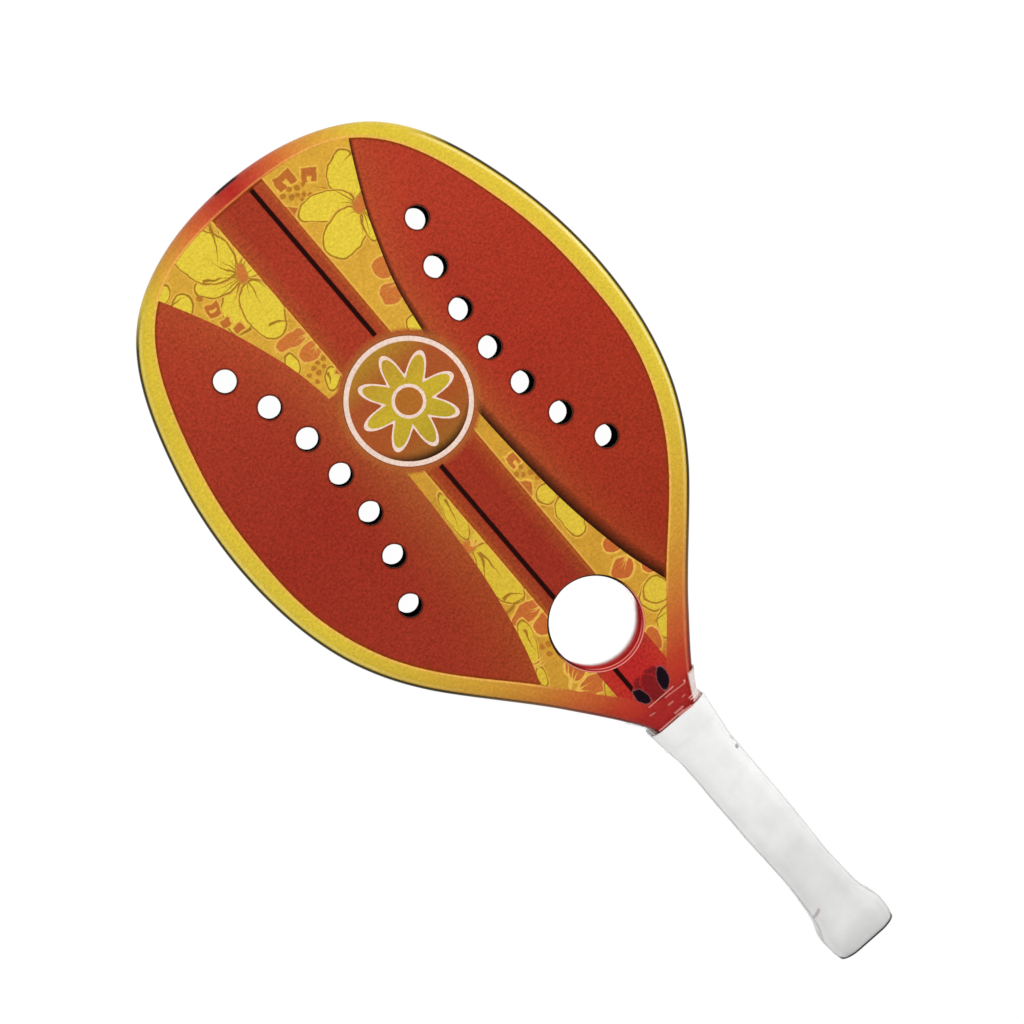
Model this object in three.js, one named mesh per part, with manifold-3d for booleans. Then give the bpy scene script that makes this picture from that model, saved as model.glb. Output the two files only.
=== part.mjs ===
import * as THREE from 'three';
import { mergeVertices } from 'three/addons/utils/BufferGeometryUtils.js';
import Module from 'manifold-3d';

const wasm = await Module();
wasm.setup();

// Beach tennis racket in millimetres. X runs across the head, Y from the butt end to the tip and
// Z out of the front face. The pieces are laid out from the butt end and the mid plane, and the
// whole racket is then set on its back with the origin below the middle of its length.

// Head
const handleLength = 146;
const headLength = 330;
const headWidth = 225;
const profileDepth = 22;

// Outer line of the head from the tip to the neck: across as a share of half the head's width,
// and up as a share of the head's length, counted from the top of the handle
const headOutlineShares = [
  [0, 1], [0.281, 0.99], [0.491, 0.966], [0.632, 0.936], [0.742, 0.895], [0.843, 0.831],
  [0.951, 0.711], [0.996, 0.596], [0.986, 0.487], [0.936, 0.401], [0.861, 0.336],
  [0.74, 0.269], [0.352, 0.113],
];

// Frame tube: both of its ends run side by side down the handle as legs
const tubeWidth = 12;
const tubeWall = 1.4;
const headCorner = 6;
const legCorner = 3.2;
const sheetLand = 1;
const legPairWidth = 19;
const legFoot = 5;
const legStraight = 32;
const neckRise = 17;
const neckKnee = 9;
const neckKneeSpread = 0.8;
const neckTop = 1;
const neckTopSpread = 3.9;
const neckBlend = 25;

// Face sheets and foam
const sheetThickness = 1;
const sheetFoot = 13;
const bondGap = 0.3;

// Two rows of bores: height of their middle and pitch as shares of the head's length, spacing of
// the rows in the middle and their bow at the upper and lower end as shares of its width
const boreDiameter = 11.1;
const boresPerSide = 7;
const boreMiddleShare = 0.5833;
const borePitchShare = 0.0688;
const boreSpacingShare = 0.4107;
const boreBowUpShare = 0.0569;
const boreBowDownShare = 0.0676;
const boreBowPower = 2.4;

// Throat hole: its centre is set as a share of the head's length
const throatHeightShare = 0.1824;
const throatBore = 44.4;
const ringWall = 1.7;
const ringRound = 1.3;
const bridgeWidth = 8;
const neckPlugDrop = 0.1;

// Handle layers, from the legs outwards
const palletWall = 1;
const palletTop = 1.5;
const bodyCorner = 4.6;
const wrapThickness = 1.5;
const wrapTop = 0.4;
const tapePitch = 24;
const tapeStep = 0.3;
const collarThickness = 0.5;
const collarWidth = 11.3;
const collarTop = 0.1;
const filmThickness = 0.2;
const filmReach = 12.6;
const filmNeckClearance = 0.7;

// How far the handle swells over its slimmest section, across and in depth: in the flare at the
// butt, in the palm and towards the neck
const flareLength = 46;
const flareSwell = 5;
const flareSwellDepth = 1.9;
const flareCorner = 3.4;
const palmStart = 46;
const palmEnd = 76;
const palmSwell = 0.8;
const palmSwellDepth = 0.2;
const neckLength = 25;
const neckSwell = 2.2;
const neckSwellDepth = 0.6;

// Swell along the flare and along the neck: place as a share of its length, and a share of the swell
const flareShares = [
  [0, 0.64], [0.05, 0.79], [0.105, 0.92], [0.155, 0.98], [0.21, 1], [0.26, 0.98], [0.305, 0.88],
  [0.375, 0.61], [0.48, 0.36], [0.62, 0.2], [0.8, 0.09], [1, 0],
];
const neckShares = [
  [0, 0], [0.11, 0.05], [0.27, 0.34], [0.43, 0.55], [0.6, 0.62], [0.76, 0.74], [0.92, 0.97], [1, 1],
];

// Clear film above the collar: place as a share of its reach up the neck, and the share that is
// left of the step down from the collar to the neck
const filmNeckShares = [[0.16, 0.45], [0.32, 0.25], [0.6, 0.1], [0.8, 0.03], [1, 0]];

// Butt cap: end plate with a flat middle, a dome and a rim that covers the ends of tape and film
const capLength = 30;
const capRim = 1.2;
const capFlatWidth = 18;
const capFlatDepth = 16;
const capDomeShares = [[0.12, 0.45], [0.42, 0.8], [0.8, 0.97], [1, 1]];

// Facets
const outlineSteps = 3;
const cornerSteps = 3;
const boreSegments = 14;
const throatSegments = 32;
const wrapSteps = 5;
const overrun = 5;

const coreHalfDepth = profileDepth / 2 - sheetThickness - bondGap;
const overallLength = handleLength + headLength;
const throatY = handleLength + throatHeightShare * headLength;
const throatRadius = throatBore / 2;

function material(colour, roughness, metalness) {
  return new THREE.MeshStandardMaterial({ color: colour, roughness, metalness });
}

function clearMaterial(colour, roughness, opacity) {
  return new THREE.MeshStandardMaterial({ color: colour, roughness, transparent: true, opacity });
}

// Signed volume of a triangle mesh, positive when its faces point outwards
function signedVolume(geometry) {
  const place = geometry.attributes.position;
  const [a, b, c] = [new THREE.Vector3(), new THREE.Vector3(), new THREE.Vector3()];
  let sum = 0;
  for (let i = 0; i < geometry.index.count; i += 3) {
    a.fromBufferAttribute(place, geometry.index.getX(i));
    b.fromBufferAttribute(place, geometry.index.getX(i + 1));
    c.fromBufferAttribute(place, geometry.index.getX(i + 2));
    sum += a.dot(b.cross(c)) / 6;
  }
  return sum;
}

// A closed mesh from corner points and triangles: doubled points are joined, triangles that
// collapse are dropped, and the faces are turned outwards
function closedMesh(points, triangles) {
  const raw = new THREE.BufferGeometry().setFromPoints(points);
  raw.setIndex(triangles.flat());
  const merged = mergeVertices(raw);
  const kept = [];
  const index = merged.index;
  for (let i = 0; i < index.count; i += 3) {
    const [a, b, c] = [index.getX(i), index.getX(i + 1), index.getX(i + 2)];
    if (a !== b && b !== c && c !== a) kept.push([a, b, c]);
  }
  merged.setIndex(kept.flat());
  if (signedVolume(merged) < 0) merged.setIndex(kept.map(([a, b, c]) => [a, c, b]).flat());
  return merged;
}

// Triangles between rings of equal size. A closed run joins the last ring to the first.
function skinTriangles(ringCount, ringSize, first, closed) {
  const triangles = [];
  const runs = closed ? ringCount : ringCount - 1;
  for (let i = 0; i < runs; i++) {
    for (let j = 0; j < ringSize; j++) {
      const here = first + i * ringSize;
      const next = first + ((i + 1) % ringCount) * ringSize;
      const k = (j + 1) % ringSize;
      triangles.push([here + j, next + j, next + k], [here + j, next + k, here + k]);
    }
  }
  return triangles;
}

// Triangles of a flat end across Y, with or without a hole in it, wound the way the ring runs
function endTriangles(ring, firstOfRing, hole, firstOfHole) {
  const flat = (points) => points.map((p) => new THREE.Vector2(p.x, p.z));
  const corners = [...flat(ring), ...flat(hole ?? [])];
  const label = (n) => (n < ring.length ? firstOfRing + n : firstOfHole + n - ring.length);
  const wanted = Math.sign(THREE.ShapeUtils.area(flat(ring)));
  return THREE.ShapeUtils.triangulateShape(flat(ring), hole ? [flat(hole)] : []).map((t) => {
    const found = Math.sign(THREE.ShapeUtils.area(t.map((n) => corners[n])));
    const [a, b, c] = t.map(label);
    return found === wanted ? [a, b, c] : [a, c, b];
  });
}

// A solid lofted through rings, with both ends closed flat
function loft(rings) {
  const size = rings[0].length;
  const last = (rings.length - 1) * size;
  const triangles = skinTriangles(rings.length, size, 0, false);
  triangles.push(...endTriangles(rings[0], 0));
  for (const [a, b, c] of endTriangles(rings.at(-1), last)) triangles.push([a, c, b]);
  return closedMesh(rings.flat(), triangles);
}

// A sleeve lofted out along one row of rings and back along another
function sleeve(outer, inner) {
  const rings = [...outer, ...inner.slice().reverse()];
  return closedMesh(rings.flat(), skinTriangles(rings.length, rings[0].length, 0, true));
}

function toManifold(geometry) {
  const bare = geometry.clone();
  for (const name of Object.keys(bare.attributes)) {
    if (name !== 'position') bare.deleteAttribute(name);
  }
  const merged = mergeVertices(bare);
  return new wasm.Manifold(new wasm.Mesh({
    numProp: 3,
    vertProperties: new Float32Array(merged.attributes.position.array),
    triVerts: new Uint32Array(merged.index.array),
  }));
}

function fromManifold(solid) {
  const mesh = solid.getMesh();
  const geometry = new THREE.BufferGeometry();
  geometry.setAttribute('position', new THREE.BufferAttribute(mesh.vertProperties, 3));
  geometry.setIndex(new THREE.BufferAttribute(mesh.triVerts, 1));
  return geometry;
}

// A plate of an outline with round holes, between two heights
function plate(points, holes, bottom, top) {
  const shape = new THREE.Shape(points);
  for (const hole of holes) shape.holes.push(hole);
  const geometry = new THREE.ExtrudeGeometry(shape, { depth: top - bottom, bevelEnabled: false });
  return geometry.translate(0, 0, bottom);
}

function roundHole(x, y, radius, segments) {
  const hole = new THREE.Path();
  for (let i = 0; i < segments; i++) {
    const angle = (-2 * Math.PI * (i + 0.5)) / segments;
    const [px, py] = [x + radius * Math.cos(angle), y + radius * Math.sin(angle)];
    if (i === 0) hole.moveTo(px, py);
    else hole.lineTo(px, py);
  }
  return hole;
}

// Smooth value of a table of shares at a place
function valueAt(shares, place) {
  const clamped = THREE.MathUtils.clamp(place, shares[0][0], shares.at(-1)[0]);
  const places = shares.map((row) => row[0]);
  const values = shares.map((row) => row[1]);
  return new THREE.CubicInterpolant(places, values, 1).evaluate(clamped)[0];
}

// Outer line of the frame, from the foot of the right leg over the tip to the left leg
function frameCurve() {
  const leg = legPairWidth / 2;
  const right = [
    [leg, legFoot],
    [leg, handleLength - legStraight],
    [leg, handleLength - neckRise],
    [leg + neckKneeSpread, handleLength - neckKnee],
    [leg + neckTopSpread, handleLength + neckTop],
  ];
  for (const [across, up] of headOutlineShares.slice().reverse()) {
    right.push([(across * headWidth) / 2, handleLength + up * headLength]);
  }
  const left = right.slice(0, -1).reverse().map(([x, y]) => [-x, y]);
  const points = [...right, ...left].map(([x, y]) => new THREE.Vector3(x, y, 0));
  return new THREE.CatmullRomCurve3(points, false, 'centripetal');
}

// One station of the frame: its place on the outer line, the direction into the head, the tube's
// width there, which shrinks where the two legs meet, and the radius of its outer corners
function station(curve, t) {
  const point = curve.getPoint(t);
  const tangent = curve.getTangent(t);
  const inward = new THREE.Vector2(-tangent.y, tangent.x);
  const inNeck = point.y < handleLength + neckBlend;
  const width = inNeck ? Math.min(tubeWidth, (point.x - bondGap / 2) / -inward.x) : tubeWidth;
  const blend = THREE.MathUtils.smoothstep(point.y, handleLength - neckRise, handleLength + neckBlend);
  const corner = THREE.MathUtils.lerp(legCorner, headCorner, blend);
  return { point, inward, width, corner, rebated: true };
}

// Place along the curve where its right side reaches a height
function paramAtHeight(curve, height) {
  let [low, high] = [0, 0.5];
  for (let i = 0; i < 40; i++) {
    const middle = (low + high) / 2;
    if (curve.getPoint(middle).y < height) low = middle;
    else high = middle;
  }
  return low;
}

// All stations in order. Where the face sheets end, two stations share one place: the lower one
// is plain and the upper one has the rebates that take the sheets.
function frameStations() {
  const curve = frameCurve();
  const runs = (curve.points.length - 1) * outlineSteps;
  const step = paramAtHeight(curve, handleLength + sheetFoot);
  const right = [];
  for (let i = 0; i <= runs / 2; i++) {
    const t = i / runs;
    if (Math.abs(t - step) < 0.3 / runs) continue;
    right.push({ ...station(curve, t), rebated: t > step, t });
  }
  right.push({ ...station(curve, step), rebated: false, t: step });
  right.push({ ...station(curve, step), rebated: true, t: step });
  right.sort((a, b) => a.t - b.t || Number(a.rebated) - Number(b.rebated));
  const left = right.slice(0, -1).reverse().map((s) => ({
    ...s,
    point: new THREE.Vector3(-s.point.x, s.point.y, 0),
    inward: new THREE.Vector2(-s.inward.x, s.inward.y),
  }));
  return { right, all: [...right, ...left] };
}

const stations = frameStations();

// A point of a station, a distance in from the outer line and at a height
function stationPoint(s, inwards, height) {
  return new THREE.Vector3(
    s.point.x + s.inward.x * inwards,
    s.point.y + s.inward.y * inwards,
    height,
  );
}

// Half of the frame's outer width at a height, measured on its facets
function frameHalfWidth(y) {
  const rows = stations.right.filter((s) => s.rebated || s.point.y < handleLength + sheetFoot);
  for (let i = 1; i < rows.length; i++) {
    const [a, b] = [rows[i - 1].point, rows[i].point];
    if (y >= a.y && y <= b.y && b.y > a.y) return a.x + ((b.x - a.x) * (y - a.y)) / (b.y - a.y);
  }
  return legPairWidth / 2;
}

// Outer section of the tube: a D with two rounded corners and a rebate in each face. Below the
// sheets the rebate's points lie on the plain corner instead.
function tubeRing(s) {
  const half = profileDepth / 2;
  const floor = coreHalfDepth;
  const seat = s.corner + sheetLand;
  const upper = [[s.width, floor], s.rebated ? [seat, floor] : [s.width, half], [seat, half]];
  for (let i = 0; i <= cornerSteps; i++) {
    const angle = (Math.PI / 2) * (1 - i / cornerSteps);
    upper.push([s.corner * (1 - Math.cos(angle)), half - s.corner * (1 - Math.sin(angle))]);
  }
  const lower = upper.slice().reverse().map(([u, z]) => [u, -z]);
  return [...upper, ...lower].map(([u, z]) => stationPoint(s, u, z));
}

// Section of the hollow inside the tube: flat below the rebates and round in the outer corners
function hollowRing(s) {
  const top = coreHalfDepth - tubeWall;
  const radius = s.corner - tubeWall;
  const centre = profileDepth / 2 - s.corner;
  const topShare = Math.min(1, (top - centre) / radius);
  const topAngle = Math.asin(topShare);
  const upper = [[s.width - tubeWall, top]];
  for (const share of [1, 0.5, 0]) {
    const angle = topAngle * share;
    upper.push([s.corner - radius * Math.cos(angle), centre + radius * Math.sin(angle)]);
  }
  const lower = upper.slice().reverse().map(([u, z]) => [u, -z]);
  return [...upper, ...lower].map(([u, z]) => stationPoint(s, u, z));
}

// The frame: a hollow tube lofted round the head, open at the feet of both legs
function headFrame() {
  const outer = stations.all.map(tubeRing);
  const hollow = stations.all.map(hollowRing);
  const points = [...outer.flat(), ...hollow.flat()];
  const firstHollow = outer.length * outer[0].length;
  const lastOuter = (outer.length - 1) * outer[0].length;
  const lastHollow = firstHollow + (hollow.length - 1) * hollow[0].length;
  const triangles = skinTriangles(outer.length, outer[0].length, 0, false);
  for (const [a, b, c] of skinTriangles(hollow.length, hollow[0].length, firstHollow, false)) {
    triangles.push([a, c, b]);
  }
  triangles.push(...endTriangles(outer[0], 0, hollow[0], firstHollow));
  for (const [a, b, c] of endTriangles(outer.at(-1), lastOuter, hollow.at(-1), lastHollow)) {
    triangles.push([a, c, b]);
  }
  return closedMesh(points, triangles);
}

// Centres of the bores: two bowed rows, closest in the middle
function boreCentres() {
  const middle = (boresPerSide - 1) / 2;
  const centres = [];
  for (let i = 0; i < boresPerSide; i++) {
    const along = (middle - i) / middle;
    const bow = along > 0 ? boreBowUpShare : boreBowDownShare;
    const across = boreSpacingShare / 2 + bow * Math.abs(along) ** boreBowPower;
    const up = boreMiddleShare + along * middle * borePitchShare;
    const [x, y] = [across * headWidth, handleLength + up * headLength];
    centres.push([x, y], [-x, y]);
  }
  return centres;
}

function boreHoles() {
  return boreCentres().map(([x, y]) => roundHole(x, y, boreDiameter / 2, boreSegments));
}

// Outline inside the frame: the tube's inner line moved in by a gap, from the neck round to the neck
function innerOutline(gap) {
  const inside = (s) => stationPoint(s, s.width + gap, 0);
  const right = stations.right
    .filter((s) => s.rebated || s.point.y < handleLength + sheetFoot)
    .map(inside)
    .filter((p) => p.x > gap);
  const left = right.filter((p) => p.x > gap).reverse().map((p) => new THREE.Vector3(-p.x, p.y, 0));
  const tip = stationPoint(stations.right.at(-1), tubeWidth + gap, 0);
  return [...right, tip, ...left].map((p) => new THREE.Vector2(p.x, p.y));
}

// A block that spans the head between two heights along Y, for cuts
function crossBlock(bottomY, topY, halfDepth) {
  const box = new THREE.BoxGeometry(headWidth, topY - bottomY, 2 * halfDepth);
  return toManifold(box.translate(0, (topY + bottomY) / 2, 0));
}

const bridgeY = throatY + throatRadius + ringWall + bridgeWidth;

// Soft foam core of the hitting area, with its bores
function headCore() {
  const blank = toManifold(plate(innerOutline(bondGap), boreHoles(), -coreHalfDepth, coreHalfDepth));
  const area = crossBlock(bridgeY + bondGap, overallLength + overrun, profileDepth);
  return fromManifold(blank.intersect(area));
}

// Firm foam in the throat with the seat of the ring. Below the sheets it rises to the frame's
// surface and plugs the neck between the legs.
function throatBlock() {
  const outline = innerOutline(bondGap);
  const seat = roundHole(0, throatY, throatRadius + ringWall + bondGap, throatSegments);
  const blank = toManifold(plate(outline, [seat], -coreHalfDepth, coreHalfDepth));
  const area = crossBlock(legFoot, bridgeY, profileDepth);
  const plugTop = profileDepth / 2 - neckPlugDrop;
  const edge = stations.right.find((s) => s.rebated);
  const plugY = stationPoint(edge, edge.width, 0).y - bondGap;
  const plug = toManifold(plate(outline, [], -plugTop, plugTop));
  const neck = crossBlock(legFoot, plugY, profileDepth);
  return fromManifold(blank.intersect(area).add(plug.intersect(neck)));
}

// Liner of the throat hole: a turned ring with rounded inner edges, flush with both faces
function throatRing() {
  const half = profileDepth / 2;
  const outer = throatRadius + ringWall;
  const profile = [new THREE.Vector2(outer, -half)];
  for (const side of [-1, 1]) {
    for (let i = 0; i <= cornerSteps; i++) {
      const angle = (Math.PI / 2) * (side < 0 ? 1 - i / cornerSteps : i / cornerSteps);
      const x = throatRadius + ringRound * (1 - Math.cos(angle));
      profile.push(new THREE.Vector2(x, side * (half - ringRound * (1 - Math.sin(angle)))));
    }
  }
  profile.push(new THREE.Vector2(outer, half), profile[0].clone());
  const ring = new THREE.LatheGeometry(profile, throatSegments);
  ring.rotateX(Math.PI / 2).translate(0, throatY, 0);
  for (const name of ['normal', 'uv']) ring.deleteAttribute(name);
  const merged = mergeVertices(ring);
  const points = [];
  for (let i = 0; i < merged.attributes.position.count; i++) {
    points.push(new THREE.Vector3().fromBufferAttribute(merged.attributes.position, i));
  }
  const index = Array.from(merged.index.array);
  const triangles = [];
  for (let i = 0; i < index.length; i += 3) triangles.push(index.slice(i, i + 3));
  return closedMesh(points, triangles);
}

// A face sheet in the rebates of the frame, from its straight foot above the neck to the tip
function faceSheet(side) {
  const rebated = stations.right.filter((s) => s.rebated);
  const edge = rebated.map((s) => stationPoint(s, s.corner + sheetLand + bondGap, 0));
  const foot = stationPoint(rebated[0], rebated[0].width, 0);
  const along = new THREE.Vector3(-rebated[0].inward.y, rebated[0].inward.x, 0);
  const lift = along.y < 0 ? -bondGap : bondGap;
  edge[0].addScaledVector(along, lift);
  const right = [foot, ...edge].map((p) => new THREE.Vector2(p.x, p.y));
  const left = right.slice(0, -1).reverse().map((p) => new THREE.Vector2(-p.x, p.y));
  const throat = roundHole(0, throatY, throatRadius + ringWall + bondGap, throatSegments);
  const inner = profileDepth / 2 - sheetThickness;
  const [bottom, top] = side > 0 ? [inner, profileDepth / 2] : [-profileDepth / 2, -inner];
  return plate([...right, ...left], [...boreHoles(), throat], bottom, top);
}

// Swell of the handle over its slimmest section at a height, across and in depth
function swellAt(y) {
  const flare = valueAt(flareShares, y / flareLength);
  const palm = THREE.MathUtils.smoothstep(y, palmStart, palmEnd);
  const neck = valueAt(neckShares, (y - handleLength + neckLength) / neckLength);
  return {
    across: flare * flareSwell + palm * palmSwell + neck * neckSwell,
    deep: flare * flareSwellDepth + palm * palmSwellDepth + neck * neckSwellDepth,
    corner: bodyCorner + flare * flareCorner,
  };
}

// Half sizes and corner radius of the handle at a height, with layers laid over its foam body
function handleSection(y, layers) {
  const swell = swellAt(y);
  const body = bondGap + palletWall + layers;
  return {
    across: legPairWidth / 2 + body + swell.across,
    deep: profileDepth / 2 + body + swell.deep,
    corner: swell.corner + layers,
  };
}

// Half sizes and corner radius of the space that the legs take up, at a height
function legSection(y) {
  return {
    across: frameHalfWidth(y) + bondGap,
    deep: profileDepth / 2 + bondGap,
    corner: legCorner + bondGap,
  };
}

// Points round a rounded rectangle across Y. A tape step, if given, follows a helix round it.
function sectionRing(y, section, stepHeight) {
  const points = [];
  const corner = Math.min(section.corner, section.across, section.deep);
  for (let quarter = 0; quarter < 4; quarter++) {
    for (let i = 0; i <= cornerSteps; i++) {
      const angle = (Math.PI / 2) * (quarter + i / cornerSteps);
      const [cos, sin] = [Math.cos(angle), Math.sin(angle)];
      const turn = y / tapePitch + angle / (2 * Math.PI);
      const out = stepHeight ? -stepHeight * (turn - Math.floor(turn)) : 0;
      const [sx, sz] = [quarter === 0 || quarter === 3 ? 1 : -1, quarter < 2 ? 1 : -1];
      points.push(new THREE.Vector3(
        sx * (section.across - corner) + (corner + out) * cos,
        y,
        sz * (section.deep - corner) + (corner + out) * sin,
      ));
    }
  }
  return points;
}

// Heights of the handle's rings between two heights, at the places of the swell tables
function handleHeights(bottom, top) {
  const rows = [
    ...flareShares.map(([place]) => place * flareLength),
    palmStart, (palmStart + palmEnd) / 2, palmEnd,
    ...neckShares.map(([place]) => handleLength - neckLength + place * neckLength),
    capLength, capLength + bondGap, handleLength - palletTop,
  ];
  const inside = rows.filter((y) => y > bottom && y < top);
  return [...new Set([bottom, ...inside, top])].sort((a, b) => a - b);
}

// One of two foam half shells that round the handle between the cap and the neck
function handlePallet(side) {
  const heights = handleHeights(capLength + bondGap, handleLength - palletTop);
  const upperHalf = (y, section) => {
    const upper = sectionRing(y, section).filter((p) => p.z > 0);
    const first = new THREE.Vector3(upper[0].x, y, bondGap / 2);
    const last = new THREE.Vector3(upper.at(-1).x, y, bondGap / 2);
    return [first, ...upper, last];
  };
  const rings = heights.map((y) => {
    const outer = upperHalf(y, handleSection(y, 0));
    const inner = upperHalf(y, legSection(y)).reverse();
    return [...outer, ...inner].map((p) => new THREE.Vector3(p.x, p.y, side * p.z));
  });
  return loft(rings);
}

const wrapLayer = bondGap + wrapThickness;
const filmLayer = wrapLayer + bondGap;
const collarLayer = wrapLayer + bondGap + collarThickness;

// Moulded cap: domed end plate, a rim over the ends of the tape and the film, and a flared skirt
// round the feet of the legs
function buttCap() {
  const rim = handleSection(capRim, filmLayer + filmThickness);
  const rings = [[0, 0], ...capDomeShares].map(([up, out]) => sectionRing(up * capRim, {
    across: THREE.MathUtils.lerp(capFlatWidth / 2, rim.across, out),
    deep: THREE.MathUtils.lerp(capFlatDepth / 2, rim.deep, out),
    corner: THREE.MathUtils.lerp(Math.min(capFlatWidth, capFlatDepth) / 2, rim.corner, out),
  }));
  for (const y of handleHeights(capRim, capLength)) rings.push(sectionRing(y, handleSection(y, 0)));
  for (const y of [capLength, legFoot - bondGap]) rings.push(sectionRing(y, legSection(legFoot)));
  return loft(rings);
}

// Tape wound up the handle: each turn laps over the one below and leaves a helical step
function gripWrap() {
  const [bottom, top] = [capRim + bondGap, handleLength - wrapTop];
  const count = Math.round(((top - bottom) * wrapSteps) / tapePitch);
  const outer = [];
  for (let i = 0; i <= count; i++) {
    const y = THREE.MathUtils.lerp(bottom, top, i / count);
    outer.push(sectionRing(y, handleSection(y, wrapLayer), tapeStep));
  }
  const inner = handleHeights(bottom, top).map((y) => sectionRing(y, handleSection(y, bondGap)));
  return sleeve(outer, inner);
}

// Finishing band over the upper end of the tape
function gripCollar() {
  const top = handleLength - collarTop;
  const heights = handleHeights(top - collarWidth, top);
  const outer = heights.map((y) => sectionRing(y, handleSection(y, collarLayer)));
  const inner = heights.map((y) => sectionRing(y, handleSection(y, wrapLayer + bondGap)));
  return sleeve(outer, inner);
}

// Clear film drawn over the tape and the collar and on up the neck
function filmSleeve() {
  const collarFoot = handleLength - collarTop - collarWidth - bondGap;
  const rows = [];
  for (const y of handleHeights(capRim + bondGap, collarFoot - collarThickness)) {
    rows.push([y, handleSection(y, filmLayer)]);
  }
  for (const y of handleHeights(collarFoot, handleLength - collarTop + bondGap)) {
    rows.push([y, handleSection(y, collarLayer + bondGap)]);
  }
  const shoulder = rows.at(-1)[1];
  const neckHalfDepth = profileDepth / 2 + filmNeckClearance;
  for (const [place, left] of filmNeckShares) {
    const y = handleLength + place * filmReach;
    rows.push([y, {
      across: frameHalfWidth(y) + filmNeckClearance,
      deep: THREE.MathUtils.lerp(neckHalfDepth, shoulder.deep, left),
      corner: legCorner + filmNeckClearance,
    }]);
  }
  const grown = (section) => ({
    across: section.across + filmThickness,
    deep: section.deep + filmThickness,
    corner: section.corner + filmThickness,
  });
  const outer = rows.map(([y, section]) => sectionRing(y, grown(section)));
  return sleeve(outer, rows.map(([y, section]) => sectionRing(y, section)));
}

const racket = new THREE.Group();

function add(name, geometry, finish) {
  const mesh = new THREE.Mesh(geometry, finish);
  mesh.name = name;
  racket.add(mesh);
}

add('head_frame', headFrame(), material(0xddb22c, 0.3, 0));
add('head_core', headCore(), material(0x171514, 0.9, 0));
add('throat_block', throatBlock(), material(0x4a3a34, 0.8, 0));
add('throat_ring', throatRing(), material(0xb3262a, 0.25, 0));
add('front_face', faceSheet(1), material(0xad3324, 0.35, 0));
add('back_face', faceSheet(-1), material(0xad3324, 0.35, 0));
add('handle_pallet_front', handlePallet(1), material(0xcfc7b4, 0.8, 0));
add('handle_pallet_back', handlePallet(-1), material(0xcfc7b4, 0.8, 0));
add('butt_cap', buttCap(), material(0x3b3b3d, 0.5, 0));
add('grip_wrap', gripWrap(), material(0xe8e8e6, 0.6, 0));
add('grip_collar', gripCollar(), material(0xf2f2f0, 0.5, 0));
add('film_sleeve', filmSleeve(), clearMaterial(0xf4f6f6, 0.15, 0.25));

// The racket lies on its back: the flare of the handle is its lowest point
const restHeight = Math.max(...handleHeights(capRim, flareLength)
  .map((y) => handleSection(y, filmLayer + filmThickness).deep));
racket.position.set(0, -overallLength / 2, restHeight);

export default racket;
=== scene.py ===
import math

import bpy
import numpy as np
from mathutils import Matrix, Vector
from mathutils.geometry import delaunay_2d_cdt


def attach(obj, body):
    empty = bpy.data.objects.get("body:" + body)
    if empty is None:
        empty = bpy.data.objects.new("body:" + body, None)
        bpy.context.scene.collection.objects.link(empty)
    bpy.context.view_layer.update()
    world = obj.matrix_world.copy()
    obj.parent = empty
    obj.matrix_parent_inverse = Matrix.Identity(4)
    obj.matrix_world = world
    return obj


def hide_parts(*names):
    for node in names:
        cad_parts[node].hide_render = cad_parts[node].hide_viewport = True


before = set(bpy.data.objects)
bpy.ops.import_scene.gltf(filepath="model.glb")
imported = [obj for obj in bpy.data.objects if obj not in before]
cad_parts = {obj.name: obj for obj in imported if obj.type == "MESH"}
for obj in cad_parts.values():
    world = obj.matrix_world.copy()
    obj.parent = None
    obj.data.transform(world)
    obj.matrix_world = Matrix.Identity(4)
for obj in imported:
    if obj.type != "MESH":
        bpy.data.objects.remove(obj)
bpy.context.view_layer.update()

# A beach tennis racket on its back. Sizes are in millimetres: X across the head, Y up from the butt
# end, Z out of the front face from the middle of the thickness.
LENGTH = 476.0
REST_HEIGHT = 16.5
HANDLE = 146.0
HEAD_LENGTH = 330.0
HEAD_WIDTH = 225.0
DEPTH = 22.0
HALF = DEPTH / 2

# Outer line of the head: across as a share of half its width, up as a share of its length
HEAD_OUTLINE = [
    (0, 1), (0.281, 0.99), (0.491, 0.966), (0.632, 0.936), (0.742, 0.895), (0.843, 0.831),
    (0.951, 0.711), (0.996, 0.596), (0.986, 0.487), (0.936, 0.401), (0.861, 0.336),
    (0.74, 0.269), (0.352, 0.113),
]

TUBE_WIDTH = 12.0
TUBE_WALL = 1.4
HEAD_CORNER = 6.0
LEG_CORNER = 3.2
SHEET_LAND = 1.0
LEG_HALF = 9.5
LEG_FOOT = 5.0
NECK_RISE = 17.0
NECK_BLEND = 25.0
SHEET = 1.0
GAP = 0.3
CORE_HALF = HALF - SHEET - GAP
SHEET_FOOT = HANDLE - 1.4

BORE = 11.1
BORES_PER_SIDE = 7
BORE_PITCH = 0.0688 * HEAD_LENGTH
ROW_MIDDLE = 0.5833 * HEAD_LENGTH
ROW_GAP = 0.4107 * HEAD_WIDTH
ROW_BOW_UP, ROW_BOW_DOWN = 0.0569 * HEAD_WIDTH, 0.0676 * HEAD_WIDTH
ROW_POWER = 2.4
THROAT_Y = HANDLE + 0.1824 * HEAD_LENGTH
THROAT_RADIUS = 22.2
RING_WALL = 1.7
RING_ROUND = 1.1
RIM_RADIUS = 23.4
RIM_DROP = 0.75
RIM_HEIGHT = 1.2
RIM_ROUND = 0.12
RIM_ROOM = 0.04
BRIDGE_Y = THROAT_Y + THROAT_RADIUS + RING_WALL + 8.0

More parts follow.
